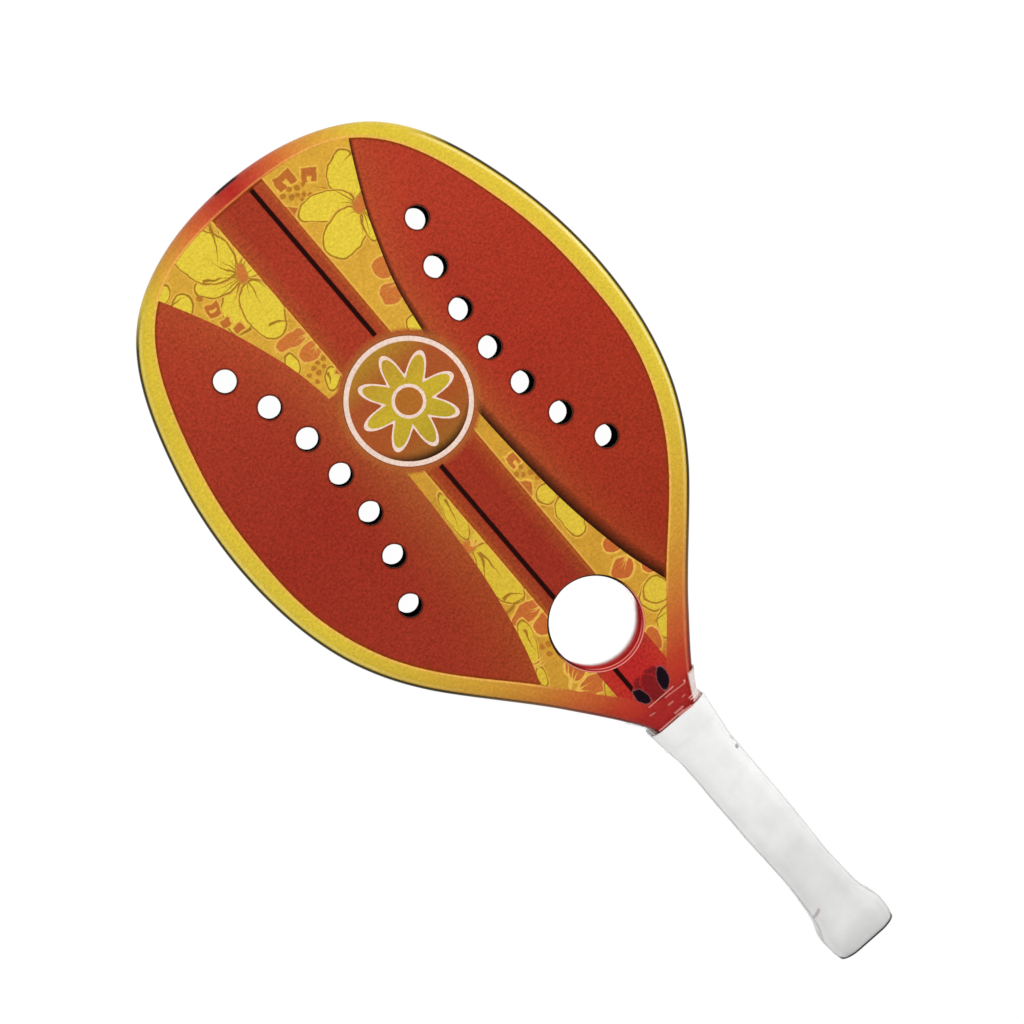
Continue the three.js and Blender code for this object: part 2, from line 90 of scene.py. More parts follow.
PALLET_WALL = 1.0
BODY_CORNER = 4.6
TAPE_PITCH = 24.0
TAPE_STEP = 0.12
WRAP_LAYER = GAP + 1.5
FILM_LAYER = WRAP_LAYER + GAP
COLLAR_LAYER = WRAP_LAYER + GAP + 0.5
FILM = 0.2
CAP_RIM = 1.2
CAP_LENGTH = 30.0
WRAP_TOP = HANDLE - 0.4
COLLAR_TOP = HANDLE - 0.1
COLLAR_FOOT = COLLAR_TOP - 11.3
FILM_REACH = 12.6

FLARE_LENGTH, FLARE_SWELL, FLARE_DEEP, FLARE_CORNER = 46.0, 5.0, 1.9, 3.4
PALM_START, PALM_END, PALM_SWELL, PALM_DEEP = 46.0, 76.0, 0.8, 0.2
NECK_LENGTH, NECK_SWELL, NECK_DEEP = 25.0, 2.2, 0.6
FLARE_TABLE = [
    (0, 0.64), (0.05, 0.79), (0.105, 0.92), (0.155, 0.98), (0.21, 1), (0.26, 0.98), (0.305, 0.88),
    (0.375, 0.61), (0.48, 0.36), (0.62, 0.2), (0.8, 0.09), (1, 0),
]
NECK_TABLE = [
    (0, 0), (0.11, 0.05), (0.27, 0.34), (0.43, 0.55), (0.6, 0.62), (0.76, 0.74), (0.92, 0.97), (1, 1),
]

# The print and the holes lie a little left of the middle: their shift, and its change per millimetre
SHIFT, LEAN = -1.5, 0.0035


def off_middle(y):
    """How far from the middle line the print and the holes lie, at a height above the handle."""
    return y * LEAN + SHIFT


THROAT_X = off_middle(THROAT_Y - HANDLE)


def to_row(points):
    """Millimetres from the butt end and the mid plane, turned into metres of the row frame."""
    return (np.asarray(points, float) - (0, LENGTH / 2, -REST_HEIGHT)) / 1000


def spline(table, places):
    """Natural cubic through a table. The second slopes at its knots solve a three-band system, and
    each span is the cubic that these slopes and the two values at its ends give."""
    knots, values = np.array(table, float).T
    step = np.diff(knots)
    rise = np.diff(values) / step
    system = np.eye(len(knots))
    right = np.zeros(len(knots))
    for i in range(1, len(knots) - 1):
        system[i, i - 1:i + 2] = step[i - 1], 2 * (step[i - 1] + step[i]), step[i]
        right[i] = 6 * (rise[i] - rise[i - 1])
    bend = np.linalg.solve(system, right)
    at = np.clip(places, knots[0], knots[-1])
    i = np.clip(np.searchsorted(knots, at) - 1, 0, len(step) - 1)
    t, u = at - knots[i], knots[i + 1] - at
    cubic = (bend[i] * u ** 3 + bend[i + 1] * t ** 3) / (6 * step[i])
    return cubic + (values[i] / step[i] - bend[i] * step[i] / 6) * u \
        + (values[i + 1] / step[i] - bend[i + 1] * step[i] / 6) * t


def smoothstep(value, low, high):
    """3t^2 - 2t^3, with t the clamped share of the way from low to high."""
    t = np.clip((value - low) / (high - low), 0, 1)
    return t * t * (3 - 2 * t)


def through(points, steps):
    """Centripetal Catmull-Rom: between two points runs the cubic whose end slopes weigh the chords on
    either side by the square roots of their lengths."""
    points = np.array(points, float)
    run = np.vstack([2 * points[0] - points[1], points, 2 * points[-1] - points[-2]])
    a, b, c, d = run[:-3], run[1:-2], run[2:-1], run[3:]
    first, middle, last = (np.sqrt(np.linalg.norm(v - u, axis=1, keepdims=True))
                           for u, v in ((a, b), (b, c), (c, d)))
    leave = ((b - a) / first - (c - a) / (first + middle) + (c - b) / middle) * middle
    reach = ((c - b) / middle - (d - b) / (middle + last) + (d - c) / last) * middle
    t = np.linspace(0, 1, steps, endpoint=False)[None, :, None]
    b, c, leave, reach = (v[:, None, :] for v in (b, c, leave, reach))
    curve = (2 * t ** 3 - 3 * t ** 2 + 1) * b + (t ** 3 - 2 * t ** 2 + t) * leave \
        + (3 * t ** 2 - 2 * t ** 3) * c + (t ** 3 - t ** 2) * reach
    return np.vstack([curve.reshape(-1, 2), points[-1]])


def evenly(points, spacing):
    """The same line walked in equal steps of its length."""
    length = np.concatenate([[0], np.cumsum(np.hypot(*np.diff(points, axis=0).T))])
    places = np.linspace(0, length[-1], 2 * round(length[-1] / spacing / 2) + 1)
    return np.stack([np.interp(places, length, points[:, i]) for i in (0, 1)], axis=1)


# Mesh making
def grid_quads(rows, columns, first=0, closed=False):
    """Quads of a grid of rows by columns that is stored row by row. The last column joins the first,
    and closed joins the last row to the first as well."""
    i = np.arange(rows if closed else rows - 1)[:, None]
    j = np.arange(columns)[None, :]
    k, n = (j + 1) % columns, (i + 1) % rows
    corners = (i * columns + j, i * columns + k, n * columns + k, n * columns + j)
    return first + np.stack(np.broadcast_arrays(*corners), axis=-1).reshape(-1, 4)


def enclosed(points, quads, triangles):
    """Six times the signed volume inside a closed mesh, positive when its faces point outwards."""
    parts = [quads[:, [0, 1, 2]], quads[:, [0, 2, 3]], triangles]
    a, b, c = (points[np.vstack(parts)[:, i]] for i in range(3))
    return np.einsum("ij,ij->", a, np.cross(b, c))


def piece(name, points, quads, triangles, finish, slot, *nodes, crease=38):
    """A closed mesh that stands for CAD nodes: the arrays go in whole, faces are turned outwards, and
    edges that bend more than the crease stay sharp."""
    points = to_row(points)
    quads = np.asarray(quads, np.int32).reshape(-1, 4)
    triangles = np.asarray(triangles, np.int32).reshape(-1, 3)
    if enclosed(points, quads, triangles) < 0:
        quads, triangles = quads[:, ::-1], triangles[:, ::-1]
    mesh = bpy.data.meshes.new(name)
    mesh.vertices.add(len(points))
    mesh.vertices.foreach_set("co", points.astype(np.float32).ravel())
    loops = np.concatenate([quads.ravel(), triangles.ravel()])
    mesh.loops.add(len(loops))
    mesh.loops.foreach_set("vertex_index", loops)
    sizes = np.repeat([4, 3], [len(quads), len(triangles)])
    mesh.polygons.add(len(sizes))
    mesh.polygons.foreach_set("loop_start", np.concatenate([[0], np.cumsum(sizes)[:-1]]))
    mesh.update(calc_edges=True)
    mesh.validate()
    mesh.shade_smooth()
    mesh.set_sharp_from_angle(angle=math.radians(crease))
    mesh.materials.append(finish)
    made = bpy.data.objects.new(name, mesh)
    bpy.context.scene.collection.objects.link(made)
    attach(made, "root")
    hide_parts(*nodes)
    return made


# Frame tube
def outer_line():
    """Outer line of the racket's body, from the foot of the right leg over the tip to the left."""
    right = [(LEG_HALF, LEG_FOOT), (LEG_HALF, HANDLE - 32), (LEG_HALF, HANDLE - NECK_RISE),
             (LEG_HALF + 0.8, HANDLE - 9), (LEG_HALF + 3.9, HANDLE + 1)]
    right += [(x * HEAD_WIDTH / 2, HANDLE + y * HEAD_LENGTH) for x, y in HEAD_OUTLINE[::-1]]
    return evenly(through(right + [(-x, y) for x, y in right[-2::-1]], 120), 1.6)


class Tube:
    """Stations round the frame: place on the outer line, direction into the head, width and corner
    radius. The tube narrows where its two legs meet, and its corners sharpen down the neck."""

    def __init__(self):
        self.place = outer_line()
        along = np.gradient(self.place, axis=0)
        along /= np.linalg.norm(along, axis=1, keepdims=True)
        self.inward = np.stack([-along[:, 1], along[:, 0]], axis=1)
        x, y = np.abs(self.place[:, 0]), self.place[:, 1]
        room = (x - GAP / 2) / np.maximum(np.abs(self.inward[:, 0]), 0.05)
        self.width = np.where(y < HANDLE + NECK_BLEND, np.minimum(TUBE_WIDTH, room), TUBE_WIDTH)
        blend = smoothstep(y, HANDLE - NECK_RISE, HANDLE + NECK_BLEND)
        self.corner = LEG_CORNER + (HEAD_CORNER - LEG_CORNER) * blend
        self.rebate = np.where(y > SHEET_FOOT - 1.5, 1.0, 0.03)

    def ring(self, inwards, heights):
        """Points at distances in from the outer line and at heights: place + inwards * direction."""
        flat = self.place[:, None, :] + inwards[:, :, None] * self.inward[:, None, :]
        return np.concatenate([flat, np.broadcast_to(heights[:, :, None], (*flat.shape[:2], 1))], axis=2)

    def half_width(self, y):
        """Half the body's width at heights up the neck."""
        right = self.place[: len(self.place) // 2]
        return np.interp(y, right[:, 1], right[:, 0])


tube = Tube()


def mirrored(upper):
    """Columns of the upper half of a section, followed by the same columns below the mid plane."""
    inwards, heights = (np.stack(np.broadcast_arrays(*[pair[i] for pair in upper]), axis=1)
                        for i in (0, 1))
    return tube.ring(np.hstack([inwards, inwards[:, ::-1]]), np.hstack([heights, -heights[:, ::-1]]))


def frame_tube(finish):
    """Hollow D: a flat inner wall, a rebate for each sheet and two quarter-round outer corners,
    swept round the outer line, with a smaller hollow swept the same way inside it."""
    floor = HALF - (HALF - CORE_HALF) * tube.rebate
    seat = tube.corner + SHEET_LAND
    zero = 0 * seat
    outer = [(tube.width, floor), (seat, floor), (seat, zero + HALF)]
    for angle in np.linspace(math.pi / 2, 0, 12):
        outer.append((tube.corner * (1 - math.cos(angle)), HALF - tube.corner * (1 - math.sin(angle))))
    outer.append((zero, 0.5 * (HALF - tube.corner)))
    top, radius = CORE_HALF - TUBE_WALL, tube.corner - TUBE_WALL
    centre = HALF - tube.corner
    steepest = np.arcsin(np.minimum(1, (top - centre) / radius))
    inner = [(tube.width - TUBE_WALL, zero + top),
             (0.5 * (tube.width + tube.corner) - TUBE_WALL, zero + top),
             (tube.corner + 0.1, zero + top)]
    for share in np.linspace(1, 0, 12):
        angle = steepest * share
        inner.append((tube.corner - radius * np.cos(angle), centre + radius * np.sin(angle)))
    inner.append((zero + TUBE_WALL, 0.5 * centre))
    skin, hollow = mirrored(outer), mirrored(inner)
    rows, columns = skin.shape[:2]
    count = rows * columns
    quads = [grid_quads(rows, columns), grid_quads(rows, columns, count)[:, ::-1]]
    for start, step in ((0, 1), ((rows - 1) * columns, -1)):
        foot = start + np.arange(columns)
        beside = start + (np.arange(columns) + 1) % columns
        quads.append(np.stack([beside, foot, foot + count, beside + count], axis=1)[:, ::step])
    points = np.vstack([skin.reshape(-1, 3), hollow.reshape(-1, 3)])
    piece("frame_tube", points, np.vstack(quads), [], finish, "frame_laminate", "head_frame")


# Flat plates with bores
def bore_centres():
    """Two bowed rows: x grows with the 2.4th power of the distance from the row's middle."""
    along = np.linspace(1, -1, BORES_PER_SIDE)
    bow = np.where(along > 0, ROW_BOW_UP, ROW_BOW_DOWN)
    x = ROW_GAP / 2 + bow * np.abs(along) ** ROW_POWER
    y = HANDLE + ROW_MIDDLE + along * (BORES_PER_SIDE // 2) * BORE_PITCH
    return np.concatenate([np.stack([side * x + off_middle(y - HANDLE), y], axis=1) for side in (1, -1)])


def inner_line(inwards, foot):
    """The outer line moved inwards, above a height, closed by a straight line at its foot."""
    line = tube.place + np.reshape(inwards, (-1, 1)) * tube.inward
    above = (line[:, 1] > foot) & (tube.place[:, 1] > HANDLE - 40)
    return line[above & (np.abs(line[:, 0]) > GAP / 2)]


def circle(centre, radius, count):
    """Points round a circle, clockwise, as a hole in an outline that runs the other way."""
    angle = -2 * math.pi * np.arange(count) / count
    return np.asarray(centre) + radius * np.stack([np.cos(angle), np.sin(angle)], axis=1)


def plate(name, outline, holes, levels, finish, slot, *nodes):
    """A flat plate with round holes. Levels give the height and how much wider the holes are there;
    each loop of points is swept through the levels, and both flats are a Delaunay mesh of the loops."""
    loops = [len(outline)] + [count for _, _, count in holes]
    layers = []
    for height, wider in levels:
        lines = [outline] + [circle(centre, radius + wider, count) for centre, radius, count in holes]
        flat = np.vstack(lines)
        layers.append(np.column_stack([flat, np.full(len(flat), height)]))
    flat = layers[0][:, :2]
    starts = np.concatenate([[0], np.cumsum(loops)])
    edges = [(s + i, s + (i + 1) % n) for s, n in zip(starts, loops) for i in range(n)]
    _, _, found, origins, _, _ = delaunay_2d_cdt([Vector(p) for p in flat], edges, [], 1, 1e-5)
    triangles = np.array([[origins[v][0] for v in t] for t in found])
    middle = flat[triangles].mean(axis=1)
    for centre, radius, _ in holes:
        inside = np.hypot(*(middle - centre).T) < 0.995 * (radius + levels[0][1])
        triangles, middle = triangles[~inside], middle[~inside]
    a, b, c = (flat[triangles[:, i]] for i in range(3))
    turn = (b - a)[:, 0] * (c - a)[:, 1] - (b - a)[:, 1] * (c - a)[:, 0]
    triangles = np.where((turn < 0)[:, None], triangles[:, ::-1], triangles)
    per_layer, last = starts[-1], (len(levels) - 1) * starts[-1]
    upward = levels[0][0] > levels[-1][0]
    caps = [triangles, triangles[:, ::-1] + last] if upward else [triangles[:, ::-1], triangles + last]
    walls = []
    for s, n in zip(starts, loops):
        here = s + np.arange(n)
        beside = s + (np.arange(n) + 1) % n
        for k in range(len(levels) - 1):
            up, down = k * per_layer, (k + 1) * per_layer
            walls.append(np.stack([here + down, beside + down, beside + up, here + up], axis=1))
    walls = np.vstack(walls)[:, ::1 if upward else -1]
    piece(name, np.vstack(layers), walls, np.vstack(caps), finish, slot, *nodes)


def rounded_lip(top, bottom, lip):
    """Levels down a bore: a quarter round of the lip's radius at the top, then straight."""
    angles = np.linspace(0, math.pi / 2, 5)
    rows = [(top - lip * (1 - math.cos(a)), lip * (1 - math.sin(a))) for a in angles]
    return rows + [(bottom, 0.0)]


def face_sheet(name, side, finish, node):
    """One printed sheet, flush with the frame, bored for the air holes and the throat ring."""
    outline = inner_line(tube.corner + SHEET_LAND, SHEET_FOOT)
    holes = [(c, BORE / 2, 44) for c in bore_centres()]
    holes.append(((THROAT_X, THROAT_Y - RIM_DROP), RIM_RADIUS + RIM_ROOM, 128))
    levels = [(side * z, wider) for z, wider in rounded_lip(HALF, HALF - SHEET, 0.3)]
    plate(name, outline, holes, levels, finish, "face_laminate", node)


def head_core(finish):
    """Soft foam between the sheets, inside the tube, down to the bridge over the throat."""
    outline = inner_line(tube.width + GAP, BRIDGE_Y + GAP)
    holes = [(c, BORE / 2, 44) for c in bore_centres()]
    plate("foam_core", outline, holes, [(CORE_HALF, 0), (-CORE_HALF, 0)], finish, "core_foam", "head_core")


def throat_block(finish):
    """Firm foam round the throat ring, from between the legs up to the bridge."""
    line = tube.place + (tube.width + GAP)[:, None] * tube.inward
    kept = (np.abs(line[:, 0]) > 0.6) & (line[:, 1] < BRIDGE_Y) & (line[:, 1] > HANDLE - 10)
    kept &= np.sign(line[:, 0]) == np.sign(tube.place[:, 0])
    holes = [((THROAT_X, THROAT_Y), THROAT_RADIUS + RING_WALL + GAP, 96)]
    levels = [(CORE_HALF, 0), (-CORE_HALF, 0)]
    plate("throat_filler", line[kept], holes, levels, finish, "throat_foam", "throat_block")


def throat_ring(finish):
    """Turned liner: a section with a small outer and a larger inner round, spun about the hole. Its rim
    sits a little low, so that it shows most on the handle's side."""
    inner, top = THROAT_RADIUS, HALF - RIM_ROOM
    rim = [(RIM_RADIUS, HALF - RIM_HEIGHT)]
    rim += [(RIM_RADIUS - RIM_ROUND * (1 - math.cos(a)), top - RIM_ROUND * (1 - math.sin(a)))
            for a in np.linspace(0, math.pi / 2, 5)]
    lip = [(inner + RING_ROUND * (1 - math.sin(a)), top - RING_ROUND * (1 - math.cos(a)))
           for a in np.linspace(0, math.pi / 2, 9)]
    upper = [(r, z, RIM_DROP) for r, z in rim] + [(r, z, 0.0) for r, z in lip] + [(inner, HALF - 4, 0.0)]
    section = np.array(upper + [(r, -z, drop) for r, z, drop in upper[::-1]])
    angle = 2 * math.pi * np.arange(128) / 128
    x = THROAT_X + section[:, 0][None, :] * np.cos(angle)[:, None]
    y = THROAT_Y - section[:, 2][None, :] + section[:, 0][None, :] * np.sin(angle)[:, None]
    points = np.stack([x, y, np.broadcast_to(section[:, 1], x.shape)], axis=-1)
    quads = grid_quads(len(angle), len(section), closed=True)
    piece("throat_liner", points.reshape(-1, 3), quads, [], finish, "ring_plastic", "throat_ring")


# Handle
def unit_ring(corner_steps=10, flat_steps=6):
    """Columns of a rounded rectangle: signs of the corner's centre and the cosine and sine of the
    direction out of it. Along a flat side the sign runs from one corner to the next."""
    signs = [(1, 1), (-1, 1), (-1, -1), (1, -1)]
    rows = []
    for quarter, (sx, sz) in enumerate(signs):
        for angle in np.linspace(0, math.pi / 2, corner_steps) + quarter * math.pi / 2:
            rows.append((sx, sz, math.cos(angle), math.sin(angle)))
        nx, nz = signs[(quarter + 1) % 4]
        angle = (quarter + 1) * math.pi / 2
        for t in np.linspace(0, 1, flat_steps + 1)[1:-1]:
            rows.append((sx + t * (nx - sx), sz + t * (nz - sz), math.cos(angle), math.sin(angle)))
    return np.array(rows).T


RING = unit_ring()
ROUND = np.unwrap(np.arctan2(RING[1] + RING[3], RING[0] + RING[2]))


def handle_swell(y):
    """Swell over the slimmest section: the flare at the butt, the palm and the rise to the neck."""
    flare = spline(FLARE_TABLE, y / FLARE_LENGTH)
    palm = smoothstep(y, PALM_START, PALM_END)
    neck = spline(NECK_TABLE, (y - HANDLE + NECK_LENGTH) / NECK_LENGTH)
    across = flare * FLARE_SWELL + palm * PALM_SWELL + neck * NECK_SWELL
    deep = flare * FLARE_DEEP + palm * PALM_DEEP + neck * NECK_DEEP
    return across, deep, BODY_CORNER + flare * FLARE_CORNER


def handle_section(y, layer):
    """Half sizes and corner radius of the handle with a layer laid over its foam body."""
    across, deep, corner = handle_swell(y)
    body = GAP + PALLET_WALL + layer
    return LEG_HALF + body + across, HALF + body + deep, corner + layer


def rings(y, across, deep, corner, out=0.0):
    """Rounded rectangles up the handle: corner centre + (radius + out) * direction."""
    across, deep, corner = (np.broadcast_to(v, y.shape)[:, None] for v in (across, deep, corner))
    corner = np.minimum(corner, np.minimum(across, deep))
    sx, sz, cos, sin = RING
    x = sx * (across - corner) + (corner + out) * cos
    z = sz * (deep - corner) + (corner + out) * sin
    return np.stack([x, np.broadcast_to(y[:, None], x.shape), z], axis=-1)


def shell(name, outer, inner, finish, slot, *nodes, crease=50):
    """A sleeve: out along the rows of one skin and back along the rows of another."""
    points = np.concatenate([outer, inner[::-1]])
    rows, columns = points.shape[:2]
    quads = grid_quads(rows, columns, closed=True)
    return piece(name, points.reshape(-1, 3), quads, [], finish, slot, *nodes, crease=crease)


def ripple(y, seed, size, length):
    """Soft unevenness: a few sines along the handle and round it, whose phases come from a seed."""
    draw = np.random.default_rng(seed)
    total = np.zeros((len(y), RING.shape[1]))
    for turns in (1, 2, 3, 4, 5, 7):
        waves, phase = draw.uniform(0.6, 1.4) / length, draw.uniform(0, 2 * math.pi, 2)
        turned = turns * ROUND[None, :] + phase[1]
        wave = np.sin(2 * math.pi * waves * y[:, None] + phase[0] + 0.8 * np.sin(turned))
        total += wave * np.cos(turned) / (1 + 0.4 * turns)
    return size * total / 2


def grip_tape(finish):
    """Wound tape: each lap rises by a thin step on a helix, with soft unevenness over it."""
    y = np.linspace(CAP_RIM - 0.35, WRAP_TOP, 190)
    turn = y[:, None] / TAPE_PITCH + ROUND[None, :] / (2 * math.pi)
    lap = turn - np.floor(turn)
    step = TAPE_STEP * (smoothstep(lap, 0, 0.9) - smoothstep(lap, 0.93, 1.0))
    roll = 0.9 * (np.exp(-(y - y[0]) / 0.5) + np.exp(-(y[-1] - y) / 0.5))[:, None]
    out = step + ripple(y, 4, 0.13, 30) - roll - 0.1
    outer = rings(y, *handle_section(y, WRAP_LAYER), out=out)
    inner = rings(y, *handle_section(y, GAP))
    shell("grip_tape", outer, inner, finish, "grip_tape", "grip_wrap")


def finishing_band(finish):
    """Band round the top of the tape, with a feathered foot and a softly rolled top."""
    y = np.linspace(COLLAR_FOOT, COLLAR_TOP, 26)
    roll = (0.5 * np.exp(-(y - y[0]) / 2.5) + 0.45 * np.exp(-(y[-1] - y) / 0.4))[:, None]
    outer = rings(y, *handle_section(y, COLLAR_LAYER - 0.1), out=-roll)
    inner = rings(y, *handle_section(y, WRAP_LAYER + 0.15))
    shell("finishing_band", outer, inner, finish, "collar_tape", "grip_collar")


def butt_cap(finish):
    """Moulded cap: a shallow dome, a thin rim that shows below the tape, and a body inside it."""
    share = np.sin(np.linspace(0.06, math.pi / 2, 9))
    up = CAP_RIM * (1 - np.cos(np.linspace(0.06, math.pi / 2, 9))) * 0.72
    rim = [float(v) for v in handle_section(np.array(CAP_RIM), FILM_LAYER + FILM)]
    dome = rings(up, 2 + (rim[0] - 2.15) * share, 2 + (rim[1] - 2.15) * share, 2 + (rim[2] - 2) * share)
    y = np.array([0.95, 1.15, 3.0, 6.0, 10.0, 15.0, 20.0, 25.0, CAP_LENGTH])
    body = rings(y, *handle_section(y, np.array([1.9, 0.05] + [0.0] * 7)))
    hollow_y = np.array([CAP_LENGTH, LEG_FOOT - GAP])
    hollow = rings(hollow_y, LEG_HALF + GAP, HALF + GAP, LEG_CORNER + GAP)
    skin = np.concatenate([dome, body, hollow])
    rows, columns = skin.shape[:2]
    points = np.vstack([skin.reshape(-1, 3), [(0, 0, 0), (0, LEG_FOOT - GAP, 0)]])
    here, beside = np.arange(columns), (np.arange(columns) + 1) % columns
    last = (rows - 1) * columns
    poles = np.full(columns, rows * columns)
    caps = np.vstack([np.stack([beside, here, poles], axis=1),
                      np.stack([here + last, beside + last, poles + 1], axis=1)])
    piece("cap_moulding", points, grid_quads(rows, columns), caps, finish, "cap_plastic", "butt_cap")


def clear_film(finish):
    """Thin film over tape and band that narrows to the neck, with creases where it was drawn in."""
    y = np.concatenate([np.linspace(CAP_RIM, COLLAR_FOOT - 2.5, 150),
                        np.linspace(COLLAR_FOOT - 2, COLLAR_TOP, 30),
                        np.linspace(COLLAR_TOP + 0.3, HANDLE + FILM_REACH, 44)])
    across, deep, corner = handle_section(y, FILM_LAYER)
    lift = (COLLAR_LAYER + 0.1 - FILM_LAYER) * smoothstep(y, COLLAR_FOOT - 1.5, COLLAR_FOOT + 0.3)
    across, deep, corner = across + lift, deep + lift, corner + lift
    up = np.clip((y - COLLAR_TOP) / FILM_REACH, 0, 1)
    drawn = 1 - np.exp(-up * 12)
    neck = tube.half_width(y) + 0.45
    across = np.where(y > COLLAR_TOP, np.maximum(neck, across * (1 - drawn) + neck * drawn), across)
    deep = np.where(y > COLLAR_TOP, deep * (1 - drawn) + (HALF + 0.55) * drawn, deep)
    corner = np.where(y > COLLAR_TOP, corner * (1 - drawn) + 4.2 * drawn, corner)
    crease = smoothstep(y, COLLAR_TOP - 3, COLLAR_TOP + 4)[:, None]
    out = ripple(y, 11, 0.08, 26) * (1 - crease) + crease * (ripple(y, 5, 0.12, 7) + 0.2)
    outer = rings(y, across + FILM / 2, deep + FILM / 2, corner + FILM / 2, out=out)
    inner = rings(y, across - FILM / 2, deep - FILM / 2, corner - FILM / 2, out=out)
    shell("clear_film", outer, inner, finish, "clear_film", "film_sleeve", crease=60)


# Materials
def srgb(code, alpha=1.0):
    """A colour written as 0xRRGGBB, in the linear values that shaders use."""
    parts = np.array([code >> 16, code >> 8 & 255, code & 255]) / 255
    linear = np.where(parts <= 0.04045, parts / 12.92, ((parts + 0.055) / 1.055) ** 2.4)
    return (*linear.tolist(), alpha)


class Wire:
    """A value on its way through a material. Each operator adds its Math node, where & gives the lesser
    of two values and | the greater."""

    def __init__(self, paint, socket):
        self.paint = paint
        self.socket = socket

    def math(self, operation, *values, **settings):
        return self.paint.node("ShaderNodeMath", values, operation=operation, **settings)

    def __add__(self, other):
        return self.math("ADD", self, other)

    def __sub__(self, other):
        return self.math("SUBTRACT", self, other)

    def __rsub__(self, other):
        return self.math("SUBTRACT", other, self)

    def __mul__(self, other):
        return self.math("MULTIPLY", self, other)

    def __truediv__(self, other):
        return self.math("DIVIDE", self, other)

    def __pow__(self, other):
        return self.math("POWER", self, other)

    def __and__(self, other):
        return self.math("MINIMUM", self, other)

    def __or__(self, other):
        return self.math("MAXIMUM", self, other)

    def __abs__(self):
        return self.math("ABSOLUTE", self)

    def held(self):
        """The value kept between 0 and 1. The factor of a mix and the place on a ramp are kept there
        anyway, so shares that only go into those, or into the lesser of two, are left as they are."""
        return self.paint.node("ShaderNodeClamp", [self])

    __radd__ = __add__
    __rmul__ = __mul__


def far(u, v):
    """sqrt(u^2 + v^2)."""
    square = u.math("MULTIPLY_ADD", u, u, v * v)
    return square.math("SQRT", square)


# Millimetres over which a printed edge goes from one colour to the next, and by which a shape may
# stray from its drawn line
SOFT, DRIFT = 0.24, 4.4


class Paint:
    """Nodes of a material or a group. Its place is Object coordinates in millimetres from the middle of
    the handle's top."""

    def __init__(self, tree, material=None):
        self.tree = tree
        self.material = material
        place = self.node("ShaderNodeTexCoord", output="Object")
        middle = (0, LENGTH / 2 - HANDLE, -REST_HEIGHT)
        self.place = self.node("ShaderNodeVectorMath", [place, (1000,) * 3, middle],
                               operation="MULTIPLY_ADD")
        self.x, self.y, self.z = (self.node("ShaderNodeSeparateXYZ", [self.place], output=i)
                                  for i in range(3))

    @classmethod
    def of(cls, name):
        """A new material."""
        material = bpy.data.materials.new(name)
        material.use_nodes = True
        material.node_tree.nodes.clear()
        return cls(material.node_tree, material)

    def node(self, kind, values=(), output=0, stops=None, table=None, **settings):
        """Adds a node: its settings, then a value or a link for each socket that is given."""
        made = self.tree.nodes.new(kind)
        for name, value in settings.items():
            setattr(made, name, value)
        if stops:
            ramp = made.color_ramp
            while len(ramp.elements) < len(stops):
                ramp.elements.new(1)
            for element, (position, colour) in zip(ramp.elements, stops):
                element.position, element.color = position, colour
        if table:
            points = made.mapping.curves[0].points
            while len(points) < len(table):
                points.new(1, 1)
            for point, (x, y) in zip(points, table):
                point.location = x, y
            made.mapping.update()
        for key, value in values.items() if isinstance(values, dict) else enumerate(values):
            if isinstance(value, Wire):
                self.tree.links.new(value.socket, made.inputs[key])
            elif value is not None:
                made.inputs[key].default_value = value
        return Wire(self, made.outputs[output]) if made.outputs else None

    def mix(self, share, low, high):
        """low where the share is 0, high where it is 1."""
        return self.node("ShaderNodeMix", {0: share, 6: low, 7: high}, output=2, data_type="RGBA")

    def layers(self, colour, layers):
        """A colour with others over it, each with its share."""
        for share, over in layers:
            colour = self.mix(share, colour, srgb(over))
        return colour

    def shade(self, colour, factor):
        """A colour times a number."""
        base = colour if isinstance(colour, Wire) else colour[:3]
        return self.node("ShaderNodeVectorMath", {0: base, "Scale": factor}, operation="SCALE")

    def fade(self, value, low, high):
        """A straight line through 0 at low and 1 at high."""
        return self.node("ShaderNodeMath", [value, 1 / (high - low), -low / (high - low)],
                         operation="MULTIPLY_ADD")

    def cover(self, distance, soft=SOFT, at=0.0):
        """1 or more where a distance is below a limit, 0 or less above, with a narrow soft edge."""
        return self.node("ShaderNodeMath", [distance, -1 / soft, 0.5 + at / soft], operation="MULTIPLY_ADD")

    def noise(self, size, detail=2.0, rough=0.5, place=None, output=0):
        """Noise whose largest spots are about that many millimetres across."""
        return self.node("ShaderNodeTexNoise", {"Vector": place or self.place, "Scale": 1 / size,
                                                "Detail": detail, "Roughness": rough}, output)

    def lookup(self, value, table, spread=40):
        """The natural cubic through a table of (place, value), as a Float Curve."""
        low, high = table[0][0], table[-1][0]
        at = np.linspace(low, high, spread)
        drawn = spline(table, at)
        floor, top = drawn.min() - 1, drawn.max() + 1
        points = list(zip((at - low) / (high - low), (drawn - floor) / (top - floor)))
        curve = self.node("ShaderNodeFloatCurve", {"Value": self.fade(value, low, high)}, table=points)
        return curve * float(top - floor) + float(floor)

    def ramp(self, value, stops):
        """Colours at places, straight between them."""
        low, high = stops[0][0], stops[-1][0]
        scaled = [((p - low) / (high - low), srgb(c)) for p, c in stops]
        return self.node("ShaderNodeValToRGB", [self.fade(value, low, high)], stops=scaled)

    def bump(self, height, strength, distance):
        """A normal from a height field; distance is in millimetres."""
        return self.node("ShaderNodeBump",
                         {"Height": height, "Strength": strength, "Distance": distance / 1000})

    def surface(self, colour, **values):
        """A Principled shader."""
        sockets = {"Base Color": colour}
        sockets.update({name.replace("_", " "): value for name, value in values.items()})
        return self.node("ShaderNodeBsdfPrincipled", sockets)

    def finish(self, colour, **values):
        """Closes the material with one Principled shader."""
        return self.close(self.surface(colour, **values))

    def close(self, shader):
        self.node("ShaderNodeOutputMaterial", [shader])
        return self.material


